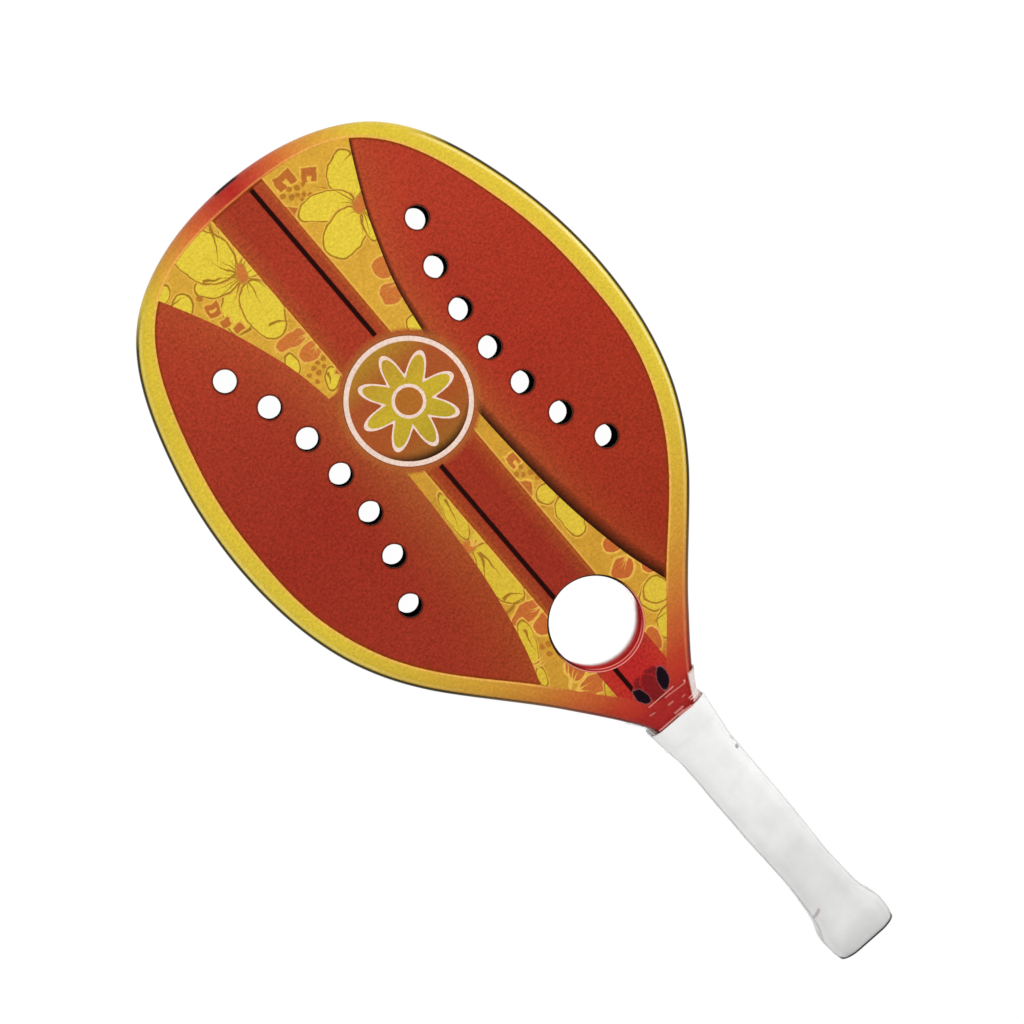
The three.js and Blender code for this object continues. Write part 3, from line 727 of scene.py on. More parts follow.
# Print on the head, in millimetres from the middle line and up from the top of the handle: the
# border's inner line, the outer curve of the flower bands, the stripe up the middle and the roundel
BORDER_LINE = [
    (0, 321), (20, 320.4), (40, 317), (57.8, 309.2), (67.4, 301), (75.1, 291), (80.6, 281), (84.9, 271),
    (91.8, 250), (96.9, 230), (100, 210), (101.3, 185), (101.2, 170), (99.1, 150), (93.7, 130), (84.8, 110),
    (71.2, 90), (53.6, 70), (39.6, 54.6), (28.6, 41.3), (20.2, 31.2), (12, 21.5), (4, 11.5), (0, 8),
]
BORDER_CENTRE = 180.0
BORDER_SHIFT, BORDER_LEAN = -0.95, 0.0033
BAND_CURVE = [
    (15, 56), (30, 48), (42, 43), (54.4, 39), (70, 34.1), (90.7, 29.4), (112, 26), (131, 24.2), (151, 22.9),
    (175, 22.2), (190, 22.8), (205, 24.4), (220, 26.9), (235, 29.2), (247, 31.9), (262, 36.8), (277, 42.4),
    (292, 49.3), (308, 57.6), (325, 67.5),
]
STRIPE_HALF = 15.1
ROUNDEL = (-0.35, 197.9)
ROUNDEL_RADIUS = 30.7
ROUNDEL_LINE = 2.4
SUN_RAYS = 8
# Thin dark lines: place across, and from where to where they run
DARK_LINES = [(7.6, 231.4, 321.6), (-8.6, 19, 165.3)]
DARK_LINE_HALF = 1.2

YELLOW, OCHRE, HALO, VEIN = 0xE5C93E, 0xDBA73A, 0xE6B548, 0xA67524
ORANGE, BUD_LINE, DOT, BLOCK = 0xCC7535, 0xE6B650, 0xB8762A, 0xBE6C2E
PALE = 0xF0D5C6
EYE = ORANGE, 0xC27A34, 0xC88A36


class Drawing:
    """Part of the print: shapes painted one over another on a ground, all slightly out of true."""

    def __init__(self, name, ground=OCHRE, yellow=YELLOW, orange=ORANGE):
        self.yellow, self.orange = yellow, orange
        self.tree = bpy.data.node_groups.new(name, "ShaderNodeTree")
        self.tree.interface.new_socket("Color", in_out="OUTPUT", socket_type="NodeSocketColor")
        self.paint = paint = Paint(self.tree)
        drift = paint.noise(9, 2, 0.5, output=1)
        drift_x, drift_y = (paint.node("ShaderNodeSeparateXYZ", [drift], output=i) for i in range(2))
        self.x = paint.x + (drift_x - 0.5) * DRIFT
        self.y = paint.y + (drift_y - 0.5) * DRIFT
        light = np.array(srgb(ground))
        self.colour = paint.mix(paint.noise(4.5, 3, 0.6), tuple(light * 0.8), tuple(light * 1.16))

    def lay(self, share, colour):
        """Paints a colour over what is there."""
        colour = colour if isinstance(colour, Wire) else srgb(colour)
        self.colour = self.paint.mix(share, self.colour, colour)

    def local(self, x, y, turn, along=1.0, across=1.0):
        """The place as a shape sees it: along it and across it, as shares of its two radii. Each is a
        cosine times one coordinate plus a sine times the other, less what the shape's middle gives."""
        cos, sin = math.cos(math.radians(turn)), math.sin(math.radians(turn))
        made = []
        for a, b, size in ((cos, sin, along), (-sin, cos, across)):
            part = self.y.math("MULTIPLY_ADD", self.y, b / size, -(x * a + y * b) / size)
            made.append(part.math("MULTIPLY_ADD", self.x, a / size, part))
        return made

    def outlined(self, out, size, fill, line, halo, width=0.42):
        """Halo, outline and fill, by a share of the way out from the shape's middle to its edge."""
        for grow, colour in ((width + 0.6, halo), (width, line), (-width, fill)):
            self.lay(self.paint.cover(out, 0.4 / size, 1 + grow / size), colour)

    def petal(self, x, y, along, across, turn, fill=None, line=VEIN, halo=HALO):
        """An oval: its edge is where (along / radius)^2 + (across / radius)^2 = 1."""
        out = far(*self.local(x, y, turn, along, across))
        self.outlined(out, (along + across) / 2, fill or self.yellow, line, halo)

    def petals(self, *ovals):
        """Ovals one over another, each given as for petal."""
        for oval in ovals:
            self.petal(*oval)

    def buds(self, *ovals):
        """Orange ovals with a pale outline: place, two radii and, where it isn't 0, a turn."""
        for x, y, along, across, *turn in ovals:
            self.petal(x, y, along, across, *(turn or [0.0]), self.orange, BUD_LINE, OCHRE)

    def block(self, x, y, wide, high, turn, notch=None):
        """A box, where the larger of the two shares is 1, with a slot cut in from one side."""
        cos, sin = math.cos(math.radians(turn)), math.sin(math.radians(turn))
        for fill, a, b, up in ((BLOCK, wide, high, 0.0), *([(HALO, *notch)] if notch else [])):
            u, v = (abs(part) for part in self.local(x - sin * up, y + cos * up, turn, a / 2, b / 2))
            if fill == BLOCK:
                self.lay(self.paint.cover(u | v, 0.8 / a, 1 + 1.6 / a), HALO)
            self.lay(self.paint.cover(u | v, 0.8 / a, 1), fill)

    def dots(self, radius, *places, colour=DOT):
        """Round dots: the least of the squared distances is compared with the radius squared."""
        least = None
        for x, y in places:
            dx, dy = self.x - x, self.y - y
            square = dx.math("MULTIPLY_ADD", dx, dx, dy * dy)
            least = least & square if least else square
        self.lay(self.paint.cover(least, radius, radius * radius), colour)

    def stroke(self, x, y, long, turn, bend=0.0, width=0.5, colour=VEIN):
        """A line that thins out: |across - bend * along^2| < width * (1 - along), from its start on."""
        paint = self.paint
        u, v = self.local(x, y, turn, long, long)
        side = abs(u.math("MULTIPLY_ADD", u * u, -bend, v))
        share = paint.cover(side.math("MULTIPLY_ADD", u, width / long, side), 0.35 / long, width / long)
        self.lay(share & paint.cover(u * -1, 0.5 / long), colour)

    def strokes(self, x, y, *lines, colour=VEIN, width=0.5):
        """Lines that leave one place: length, direction and bend of each."""
        for long, turn, bend in lines:
            self.stroke(x, y, long, turn, bend, width, colour)

    def fan(self, x, y, reach, count, width=0.5):
        """Veins round a flower's eye. A random number for each sets its length and leaves some out."""
        paint = self.paint
        dx, dy = self.local(x, y, 0)
        radius = far(dx, dy)
        cell = (dx.math("ARCTAN2", dy, dx) + radius * 0.012) * (count / (2 * math.pi))
        whole = cell.math("FLOOR", cell) + x
        draw = paint.node("ShaderNodeTexWhiteNoise", {"W": whole}, noise_dimensions="1D")
        middle = (draw - 0.5) * 0.4 + 0.5
        side = abs(cell.math("FRACT", cell) - middle) * radius * (2 * math.pi / count)
        long = draw.math("MULTIPLY_ADD", draw, reach * 1.5, reach * -0.45)
        self.lay(paint.cover(side + radius / (long | 0.1) * width, 0.35, width), VEIN)

    def close(self):
        """Ends the group and gives it back."""
        self.paint.node("NodeGroupOutput", [self.colour])
        return self.tree


def upper_left():
    """Two flowers, a stack of blocks, buds and dots."""
    draw = Drawing("upper_left_flowers")
    draw.petals((-55.5, 309.8, 5.5, 3.2, 30), (-52, 299, 6.2, 5, 20))
    draw.stroke(-57, 303, 9, -2, -0.1)
    draw.petals((-13.5, 308.5, 15, 5.2, 76), (-12.5, 294, 9, 5.5, 8), (-31.5, 283.8, 14, 7.6, 56),
                (-32.6, 297.4, 10.6, 6.0, 160), (-29.4, 311, 15.5, 11.4, 112),
                (-24.2, 274.6, 15, 9.2, 78))
    draw.fan(-21.4, 293.5, 18, 27)
    draw.stroke(-36.5, 302.5, 11, -36, 0.1, 0.8)
    draw.stroke(-26.5, 267.2, 11, -16, -0.35, 0.8)
    draw.stroke(-17.2, 320, 19, 252, -0.25, 0.7)
    draw.petal(-21.1, 293.8, 3.6, 2.5, 68, *EYE)
    draw.block(-41.6, 289.5, 6.4, 6.4, -12, (3.6, 1.4, 0.0))
    draw.block(-40.8, 281.6, 5.2, 3.8, -8)
    draw.block(-38.2, 275.2, 3.6, 4.0, -5)
    draw.dots(1.5, (-43.2, 296.6))
    draw.stroke(-38, 271.6, 6, 8, 0.1, 0.6)
    draw.buds((-23.5, 254.8, 8.8, 4.0, -6), (-19, 245.2, 7.8, 4.8))
    draw.strokes(-14, 251.8, (9, 165, 0.1), (7, 153, 0.1), (5.5, 185, 0), colour=BUD_LINE, width=0.55)
    draw.strokes(-14, 245.6, (6, 172, 0), (6.5, 196, 0.1), (5, 214, 0), colour=BUD_LINE, width=0.5)
    draw.petal(-31, 246, 5, 3.2, 72)
    draw.dots(1.25, (-27.6, 237), (-23.9, 238), (-20.9, 238.8), (-17.6, 238.6), (-26.6, 232.8),
              (-23.6, 235), (-19.9, 235.4))
    draw.petal(-20.5, 229, 5.4, 3.6, 40)
    draw.stroke(-20.6, 232.4, 5, 245, -0.2, 0.8)
    draw.block(-15.4, 229.5, 3.8, 3.8, 40)
    return draw.close()


def upper_right():
    """One flower with a long pistil, two notched blocks, dots and buds."""
    draw = Drawing("upper_right_flowers")
    draw.petal(46, 297.2, 11.6, 8.6, 62)
    draw.stroke(57, 303, 9, 182, 0.1, 0.6)
    draw.block(22.5, 313.4, 9.4, 7.6, -5, (2.2, 4.6, -2.0))
    draw.block(32.6, 307.8, 7.4, 7.4, -32, (2.0, 3.8, -2.2))
    draw.block(13.6, 299, 8.4, 8.4, 45)
    draw.dots(1.35, (16.8, 308), (20.8, 308.4), (24.2, 307), (27.4, 306), (19.2, 305), (22, 304.4),
              (24.7, 302.6))
    draw.dots(1.0, (22.5, 301.4), (27, 300.6))
    draw.strokes(42, 286, (24, 127, 0.13), (21, 132, 0.13), width=1.2, colour=HALO)
    draw.strokes(42.6, 286, (21, 119, 0.13), (22, 129.5, 0.14), width=0.6)
    draw.petals((29.2, 292, 13.4, 6.4, 158), (28.2, 277, 12.8, 9.2, 18), (39.6, 272.8, 8.6, 3.6, 68))
    draw.fan(42.2, 283, 18, 29)
    draw.stroke(38.5, 277.5, 9, 235, 0.25, 0.6)
    draw.petal(42.4, 283, 3.8, 2.4, 20, *EYE)
    draw.buds((31.6, 253.5, 5.6, 5.4), (26.4, 241.3, 6.0, 5.7))
    draw.strokes(32, 243.5, (6, 170, 0), (5, 182, 0), colour=BUD_LINE, width=0.4)
    draw.petal(25.8, 223.2, 4.8, 4.4, 0)
    return draw.close()


def lower_left():
    """A flower in side view, buds with pale rays, a leaf and dots."""
    draw = Drawing("lower_left_flowers", 0xCF9834, 0xDAB938, 0xC46A31)
    draw.petal(-19.4, 142.6, 12.6, 3.5, 85)
    draw.stroke(-17.4, 152, 15, 262, -0.12, 0.6)
    draw.petals((-14, 130.5, 8.5, 3.2, 40), (-21, 107.6, 17, 8, 86))
    draw.strokes(-21.8, 121.8, (16, 252, -0.12), (15.5, 276, -0.08), width=0.75)
    draw.petal(-23.4, 126.6, 3.6, 2.6, 0, *EYE)
    draw.strokes(-21.6, 126, (9, 58, -0.1), (8, 38, 0), (8, 4, 0), (7.5, -14, 0),
                 colour=BUD_LINE, width=0.55)
    draw.stroke(-27.4, 97.6, 11, -4, -0.5, 0.8)
    draw.stroke(-31, 92, 16, -3, 0.06, 0.8)
    draw.buds((-22.8, 85.4, 8.6, 4.7, -4), (-19.6, 76, 6.6, 5.2))
    draw.strokes(-15, 82.8, (8, 160, 0.1), (7, 148, 0.1), (15, 196, 0.05), colour=BUD_LINE, width=0.5)
    draw.petal(-31.4, 74.4, 11, 3.4, 67)
    draw.stroke(-29.4, 80, 13, 252, 0.12, 0.6)
    draw.dots(1.4, (-27.9, 68.4), (-24.4, 67.7), (-27.3, 63.6))
    draw.petal(-37.2, 57.4, 4.8, 2.2, 74)
    for x, y, long in ((-36.4, 65.2, 8), (-36.6, 63.6, 7), (-36.8, 62, 6)):
        draw.stroke(x, y, long, 0, 0.0, 0.5, BUD_LINE)
    draw.buds((-22.4, 50.4, 6.8, 5.4, 55), (-21.2, 38, 8.2, 4.8, -12))
    draw.strokes(-31, 44.5, (14, 60, -0.1), (10, 40, 0), (9, 24, 0), colour=BUD_LINE, width=0.7)
    draw.strokes(-28.8, 42, (12, 12, 0), (6.5, -22, 0), (6, -48, 0), colour=BUD_LINE, width=0.7)
    draw.petal(-16.4, 29.8, 7.6, 4.2, 68)
    return draw.close()


def lower_right():
    """A notched block, dots, petals, buds and a ringed disc."""
    draw = Drawing("lower_right_flowers", 0xD09A34, 0xDCBC3B, 0xC4662F)
    draw.block(19.2, 144.6, 5, 7, 4, (1.6, 3.4, -1.9))
    draw.dots(1.25, (15.8, 138.6), (19.8, 139.2), (18.2, 136), (21.2, 134.4), (22.6, 131.4), (15.6, 119.4))
    draw.block(13.6, 131.4, 8.4, 8.4, 45)
    draw.petals((20.6, 122.4, 5.3, 4.8, 8), (22.8, 107.3, 10.4, 5.8, 78))
    draw.buds((29.8, 83.4, 5, 4.6), (25.4, 71.3, 6.2, 5.4, 8))
    draw.strokes(32, 74, (7, 195, 0.1), (7.5, 208, 0.1), (6, 182, 0), colour=BUD_LINE, width=0.45)
    draw.buds((35.4, 64, 3.2, 4.4))
    draw.petals((29.8, 51.4, 8, 7.4, 0), (31, 52.8, 6.4, 6, 0), (25.5, 37.4, 8, 5, 48))
    draw.stroke(21, 41.2, 9, 2, 0.05, 0.6)
    draw.buds((15.2, 36, 6, 3.8, 78))
    return draw.close()


def wings(draw, across):
    """Red on both sides of the bands, warmer near them, with a shadow along the right one."""
    paint, x, y = draw.paint, draw.paint.x, draw.paint.y
    beyond = across - paint.lookup(y, BAND_CURVE)
    left = paint.ramp(y, [(80, 0x9B3320), (130, 0x9A301F), (180, 0x992E1E), (230, 0xA03422),
                          (280, 0xAA3A25)])
    right = paint.ramp(y, [(80, 0x9B301C), (130, 0xA2331F), (180, 0xA73221), (230, 0xAB3523),
                           (280, 0xB23C27)])
    draw.colour = paint.mix(paint.fade(x, -8, 8), left, right)
    warm = paint.ramp(y, [(100, 0xA24A22), (180, 0xB0622F), (260, 0xB24E2A)])
    reach = paint.fade(x, 8, -8).held() * 12 + 26
    draw.lay(paint.fade(beyond / reach, 1, 0).held() ** 2 * 0.75, warm)
    soft = paint.fade(y, 270, 110).held() * 4.5 + 2.0
    shadow = paint.fade(beyond / soft, 1, 0).held() ** 0.7
    draw.lay(paint.fade(x, 0, 1) & paint.cover(beyond * -1, at=0.2) & shadow, 0x1A0803)


def stripe(draw, across):
    """Red strip up the middle, lighter towards its sides, with an ochre line inside each."""
    paint, y = draw.paint, draw.paint.y
    middle = paint.ramp(y, [(90, 0x982F20), (155, 0x9B311F), (240, 0xA63823), (275, 0xA93824),
                            (310, 0xA53823)])
    sides = paint.ramp(y, [(90, 0x9A3E21), (155, 0xA04020), (310, 0xAB4728)])
    colour = paint.mix(paint.fade(across, 6.5, 11.5), middle, sides)
    draw.lay(paint.cover(across, at=STRIPE_HALF), colour)
    draw.lay(paint.cover(abs(across - STRIPE_HALF + 1.1), 1.2, 0.6).held() * 0.6, 0xB0601F)


def roundel(draw):
    """Pale ring round a disc with a rayed sun, whose edge is a power of a cosine of the bearing, and
    with a dark crescent at its foot."""
    paint = draw.paint
    dx, dy = paint.x - ROUNDEL[0], paint.y - ROUNDEL[1]
    radius = far(dx, dy)
    inside = ROUNDEL_RADIUS - ROUNDEL_LINE
    draw.lay(paint.fade(radius, 35.2, 31.4), 0xAC5E2C)
    draw.lay(paint.cover(radius, 0.7, ROUNDEL_RADIUS + 0.4), 0x7E4426)
    draw.lay(paint.cover(radius, at=ROUNDEL_RADIUS), PALE)
    ground = paint.ramp(dy, [(-28, 0x9A6428), (-10, 0xA85426), (12, 0xA9522A), (28, 0xB0842A)])
    draw.lay(paint.cover(radius, at=inside), ground)
    crescent = paint.fade(radius - dy * 0.3 - dx * 0.06, 31, 36.5)
    draw.lay(crescent & paint.cover(radius, at=inside), 0x241008)
    ray = dx.math("ARCTAN2", dy, dx) * (SUN_RAYS / 2) + 0.6
    edge = abs(ray.math("COSINE", ray)) ** 1.6 * 11.5 + 12
    rays = paint.ramp(dy, [(-22, 0xB59A2C), (0, 0xC9AE30), (22, 0xBC9230)])
    draw.lay(paint.cover(radius - edge), rays)
    draw.lay(paint.cover(radius, at=7.2), 0xB06A28)
    draw.lay(paint.cover(abs(radius - edge), at=1.05), PALE)
    draw.lay(paint.cover(abs(radius - 7.4), at=0.8), PALE)


def neck_red(draw, across):
    """The stripe widens into the red of the neck."""
    paint, y = draw.paint, draw.paint.y
    draw.lay(paint.cover(across, at=STRIPE_HALF) & paint.fade(y, 47, 36), 0xB53226)
    draw.lay(paint.fade(y, 36, 24), 0xB53226)
    draw.lay((paint.fade(across, 14, 6) & paint.fade(y, 52, 38)).held() * 0.9, 0xB72725)


def neck_blossom(draw):
    """A dark red blossom between two dark leaves."""
    for oval in ((-4, 22.4, 3.6, 3.4, 60), (2.8, 22.4, 3.6, 3.4, 120), (-0.6, 18, 7, 4, 90)):
        draw.petal(*oval, 0x7C1A1D, 0x861C1D, 0xA82523)
    for middle, turn in ((-7.2, 113), (5.9, 66)):
        draw.petal(middle, 18.1, 4.7, 2.4, turn, 0x150A14, 0x1E0D14, 0x8A4448)


def plain_print():
    """All of the print but the bands, from the lowest layer up, with a ring of painted shade round each
    bore.
    """
    draw = Drawing("plain_print", 0xA5331F)
    paint, x, y = draw.paint, draw.paint.x, draw.paint.y
    across = from_middle(paint)
    wings(draw, across)
    stripe(draw, across)
    roundel(draw)
    # Painted shade: a dark ring round each bore.
    draw.lay(paint.cover(bore_distance(paint), 0.8, BORE / 2 + 0.8).held() * 0.75, 0x3A0C06)
    neck_red(draw, across)
    for middle, start, end in DARK_LINES:
        past_ends = abs(y - (start + end) / 2) - (end - start) / 2
        draw.lay(paint.cover(past_ends | abs(x - middle) - DARK_LINE_HALF, 0.5), 0x240604)
    border(draw)
    neck_blossom(draw)
    return draw.close()


def from_middle(paint):
    """How far a place lies from the middle line of the print."""
    return abs(paint.x - off_middle(paint.y))


def bore_distance(paint):
    """How far a place lies from the middle of the nearest bore: the number of its row, rounded, gives
    that middle by the rule of bore_centres."""
    last = BORES_PER_SIDE // 2
    row = (paint.y - ROW_MIDDLE) * (1 / BORE_PITCH)
    row = (row.math("ROUND", row) | -last) & last
    bow = row.math("SIGN", row) * ((ROW_BOW_UP - ROW_BOW_DOWN) / 2) + (ROW_BOW_UP + ROW_BOW_DOWN) / 2
    middle = (abs(row) * (1 / last)) ** ROW_POWER * bow + ROW_GAP / 2
    return far(from_middle(paint) - middle, paint.y - row * BORE_PITCH - ROW_MIDDLE)


def beyond_border(paint):
    """How far a place lies outside the border's inner line, which is drawn round a centre: its
    distance from there is a cubic through a table by bearing."""
    dx, dy = abs(paint.x - (paint.y * BORDER_LEAN + BORDER_SHIFT)), paint.y - BORDER_CENTRE
    reach = far(dx, dy)
    bearing = reach.math("ARCTAN2", dx, dy)
    table = [(math.atan2(x, y - BORDER_CENTRE), math.hypot(x, y - BORDER_CENTRE)) for x, y in BORDER_LINE]
    return reach - paint.lookup(bearing, table, 70)


def border(draw):
    """Red at both ends and yellow between, darker on the left, with a thin line along its inside."""
    paint, x, y = draw.paint, draw.paint.x, draw.paint.y
    inset = beyond_border(paint)
    tip = paint.ramp(abs(x), [(0, 0xB62A25), (12, 0xC64932), (25, 0xD86D38), (38, 0xE0953F), (52, 0xE0AE3D),
                              (64, 0xE0C23C)])
    down = paint.ramp(y, [(0, 0xAA2828), (10, 0xA92C28), (18, 0xB93E2A), (36, 0xC26030), (50, 0xC87E32),
                          (70, 0xD09A36), (100, 0xD4B039), (135, 0xDCC13C)])
    colour = paint.mix(paint.fade(y, 170, 200), down, tip)
    colour = paint.mix(paint.fade(x, 20, -40).held() * 0.035, colour, srgb(0x402008))
    inside = paint.fade(y, 45, 60)
    draw.lay((paint.cover(abs(inset + 0.5), 0.7, 0.6) & inside).held() * 0.75, 0x803404)
    draw.lay(paint.cover(inset * -1) & paint.fade(y, 12, 30), colour)
    bright = paint.fade(abs(x), 12, 45).held() * 0.5 + 0.4
    draw.lay((paint.cover(abs(inset - 0.65), 0.6, 0.4) & inside).held() * bright, 0xF4B45C)
    draw.lay(paint.fade(y, 22, 8), colour)


def rims(paint, across, band):
    """Lines where the head's edges turn away, each with its share and its colour: a seam beside the
    stripe, a painted highlight and a painted shade line round the outer corner, and painted shade
    on the lips of the bores."""
    x, y = paint.x, paint.y
    seam = paint.cover(abs(across - STRIPE_HALF - 0.55), 0.6, 0.3)
    seam = (seam & band & paint.fade(y, 42, 56)).held() * 0.6
    turned = paint.node("ShaderNodeLayerWeight", {"Blend": 0.5}, output=1)
    normal = paint.node("ShaderNodeNewGeometry", output=1)
    slope = abs(paint.node("ShaderNodeSeparateXYZ", [normal], output=2))
    side = paint.fade(y + x * 0.12, 304, 288)
    ends = side | paint.fade(abs(x), 8, 5)
    # Painted shade: a dark line where the outer corner turns away from view, weaker low on the neck.
    dark = (paint.fade(turned, 0.33, 0.43) & paint.fade(slope, 0.86, 0.76) & ends
            & paint.fade(turned + slope, 0.6, 0.75)).held()
    dark = dark * (0.95 - paint.fade(y, 80, 40).held() * 0.3)
    # Painted highlight: a pale line round the outer corner, left out near the tip, stronger to the right,
    # with a faint one on the right of the neck.
    pale = (paint.cover(abs(turned - 0.22), 0.1, 0.05) & paint.fade(slope, 0.98, 0.94) & side).held()
    pale = pale * (paint.fade(y, 60, 120).held() * (paint.fade(x, -30, 30).held() * 0.4 + 0.3)
                   + (paint.fade(x, 0, 8) & paint.fade(y, 100, 50)).held() * 0.12)
    # Painted shade on the lips of the bores.
    bored = paint.cover(beyond_border(paint), at=-0.5) & paint.fade(abs(x), 30, 32)
    lip = (paint.fade(slope, 0.97, 0.85) & paint.cover(HALF - 0.34 - abs(paint.z)) & bored).held() * 0.8
    return [(seam, 0xF0B856), (pale, 0xFCF0A8), (dark, 0x0E0A04), (lip, 0x2A0C06)], dark


def head_paint():
    """Printed laminate: grain in the ink, a fine grit in the face and a glossier outer corner, with the
    painted highlight and painted shade lines of rims laid over the print.
    """
    paint = Paint.of("printed_laminate")
    x, y = paint.x, paint.y
    quarters = [paint.node("ShaderNodeGroup", node_tree=part())
                for part in (lower_left, lower_right, upper_left, upper_right)]
    right, high = paint.fade(x, -1, 1).held(), paint.fade(y, 196, 198).held()
    plain = paint.node("ShaderNodeGroup", node_tree=plain_print())
    across = from_middle(paint)
    radius = far(x - ROUNDEL[0], y - ROUNDEL[1])
    band = paint.cover(across - paint.lookup(y, BAND_CURVE)) & paint.cover(across * -1, at=-STRIPE_HALF)
    band = band & paint.fade(radius, 33, 35) & paint.cover(beyond_border(paint)) & paint.fade(y, 22, 34)
    band = (band & (paint.fade(abs(y - 212), 10.6, 11.4) | paint.fade(x, -1, 1))).held()
    # Painted highlight and shade lines where the edges turn away, laid over every part of the print.
    edges, painted_rim_shade = rims(paint, across, band)
    grain = paint.noise(1.35, 3, 0.75)
    blotch = paint.noise(14, 3, 0.5)
    calm = (band | paint.fade(beyond_border(paint), -1, 1) | paint.fade(radius, 34, 32)).held()
    light = (grain - 0.5) * (1.65 - calm * 0.8) + (blotch - 0.5) * 0.12 + 1
    corner = paint.fade(abs(paint.z), HALF - 0.15, HALF - 1.6).held()
    coat = (1 - painted_rim_shade) * corner * 0.4
    rough = 0.5 - corner * 0.26 + (grain - 0.5) * 0.08
    relief = paint.bump(paint.noise(0.32, 1, 0.5) * (1 - corner), 0.25, 0.05)
    plain, *shaders = [
        paint.surface(paint.layers(paint.shade(colour, light), edges), Roughness=rough,
                      Specular_IOR_Level=0.03, Coat_Weight=coat, Coat_Roughness=0.16, Normal=relief)
        for colour in (plain, *quarters)]
    low, top = (paint.node("ShaderNodeMixShader", [right, *pair]) for pair in (shaders[:2], shaders[2:]))
    flowers = paint.node("ShaderNodeMixShader", [high, low, top])
    return paint.close(paint.node("ShaderNodeMixShader", [band, plain, flowers]))


def foam_paint(name, dark, light, cell):
    """Closed-cell foam: small round cells in colour and height."""
    paint = Paint.of(name)
    cells = paint.node("ShaderNodeTexVoronoi",
                       {"Vector": paint.place, "Scale": 1 / cell, "Randomness": 1.0})
    tone = cells * 0.8 + paint.noise(6, 2) * 0.3
    colour = paint.mix(tone, srgb(dark), srgb(light))
    return paint.finish(colour, Roughness=0.85, Specular_IOR_Level=0.0,
                        Normal=paint.bump(cells, 0.5, 0.15))


def ring_paint():
    """Moulded red with painted light and shade: the wall is painted darker near the lip and on the right,
    and grey then white away from the lip as a painted reflection with a faint painted glow; the lip is
    painted dark at the top and red at the foot, with bright painted highlight lines. A faint flow mark
    runs round it.
    """
    paint = Paint.of("ring_plastic")
    flow = paint.noise(9, 3)
    across, up = paint.x - THROAT_X, paint.y - (THROAT_Y - HANDLE)
    down = up * (-1 / THROAT_RADIUS)
    side = across * (1 / THROAT_RADIUS)
    # Painted shade: the wall's red darkens towards the lip.
    deep = paint.ramp(paint.z, [(-HALF, 0xC03A38), (-3, 0xC63432), (4, 0xC22E2C), (9, 0xA8201F)])
    # Painted reflection: from a height that changes round the hole, the wall turns grey and then white.
    reflection_height = paint.lookup(down, [(-1.1, 16), (0, 15), (0.2, 8), (0.4, -1), (0.7, -5), (1.1, -6.5)])
    white = paint.fade(paint.z - reflection_height, 3, -5).held()
    # Painted shade on the right of the wall.
    side_shade = paint.fade(side, 0.35, 0.8).held() * -0.35 + 1
    deep = paint.mix(paint.fade(paint.z - reflection_height, 8, 0), paint.shade(deep, side_shade), srgb(0xC0A09C))
    deep = paint.mix(white, deep, srgb(0xF4F0EE))
    lip = paint.fade(paint.z, HALF - 1.6, HALF - 1.1)
    # Painted light and shade on the lip: dark at the top and sides, red at the foot.
    lip_shading = paint.ramp(down + side * 0.2, [(-0.4, 0x3A2418), (0.1, 0x240606), (0.4, 0x7E1A14),
                                           (0.8, 0xAE282A)])
    reach = far(up + RIM_DROP, across)
    # Painted highlights: a bright line round the outer edge of the lip's lower half, and one along its
    # rounded inner edge.
    hem_highlight = paint.cover(reach * -1, 0.4, 0.5 - RIM_RADIUS) & paint.fade(down + side * 0.15, -0.15, 0.1)
    pale = paint.ramp(down, [(-0.2, 0xC08040), (0, 0xDC8C6C), (0.35, 0xF09484), (0.8, 0xF8988C)])
    sill_highlight = paint.cover(abs(paint.z - (HALF - 0.5)), 0.2, 0.25) & paint.fade(down, 0.6, 0.9)
    colour = paint.mix(hem_highlight & lip, paint.mix(lip, deep, lip_shading), pale)
    colour = paint.mix(sill_highlight, colour, srgb(0xF08478))
    colour = paint.shade(colour, flow * 0.3 + 0.85)
    # Painted glow: the white part of the wall shines a little.
    painted_glow = paint.shade(srgb(0xFFFFFF), white * (1 - lip.held()) * 0.3)
    return paint.finish(colour, Roughness=0.4 + flow * 0.12, Specular_IOR_Level=0.0,
                        Coat_Weight=lip.held() * 0.06, Coat_Roughness=0.2, Emission_Color=painted_glow,
                        Emission_Strength=1.0, Normal=paint.bump(paint.noise(2.4, 2), 0.08, 0.08))


def cap_paint():
    """Dark moulded plastic with a spark-eroded texture."""
    paint = Paint.of("cap_plastic")
    grain = paint.noise(0.35, 2, 0.6)
    colour = paint.mix(grain, srgb(0x262628), srgb(0x3E3E40))
    return paint.finish(colour, Roughness=0.45 + grain * 0.2, Normal=paint.bump(grain, 0.35, 0.06))


# Grey scuffs on the tape: place, half width, half height and colour
SCUFFS = [(12.0, -30.2, 1.1, 1.1, 0x9C9C9A), (12.9, -25.5, 0.6, 1.9, 0x8E8E8C)]


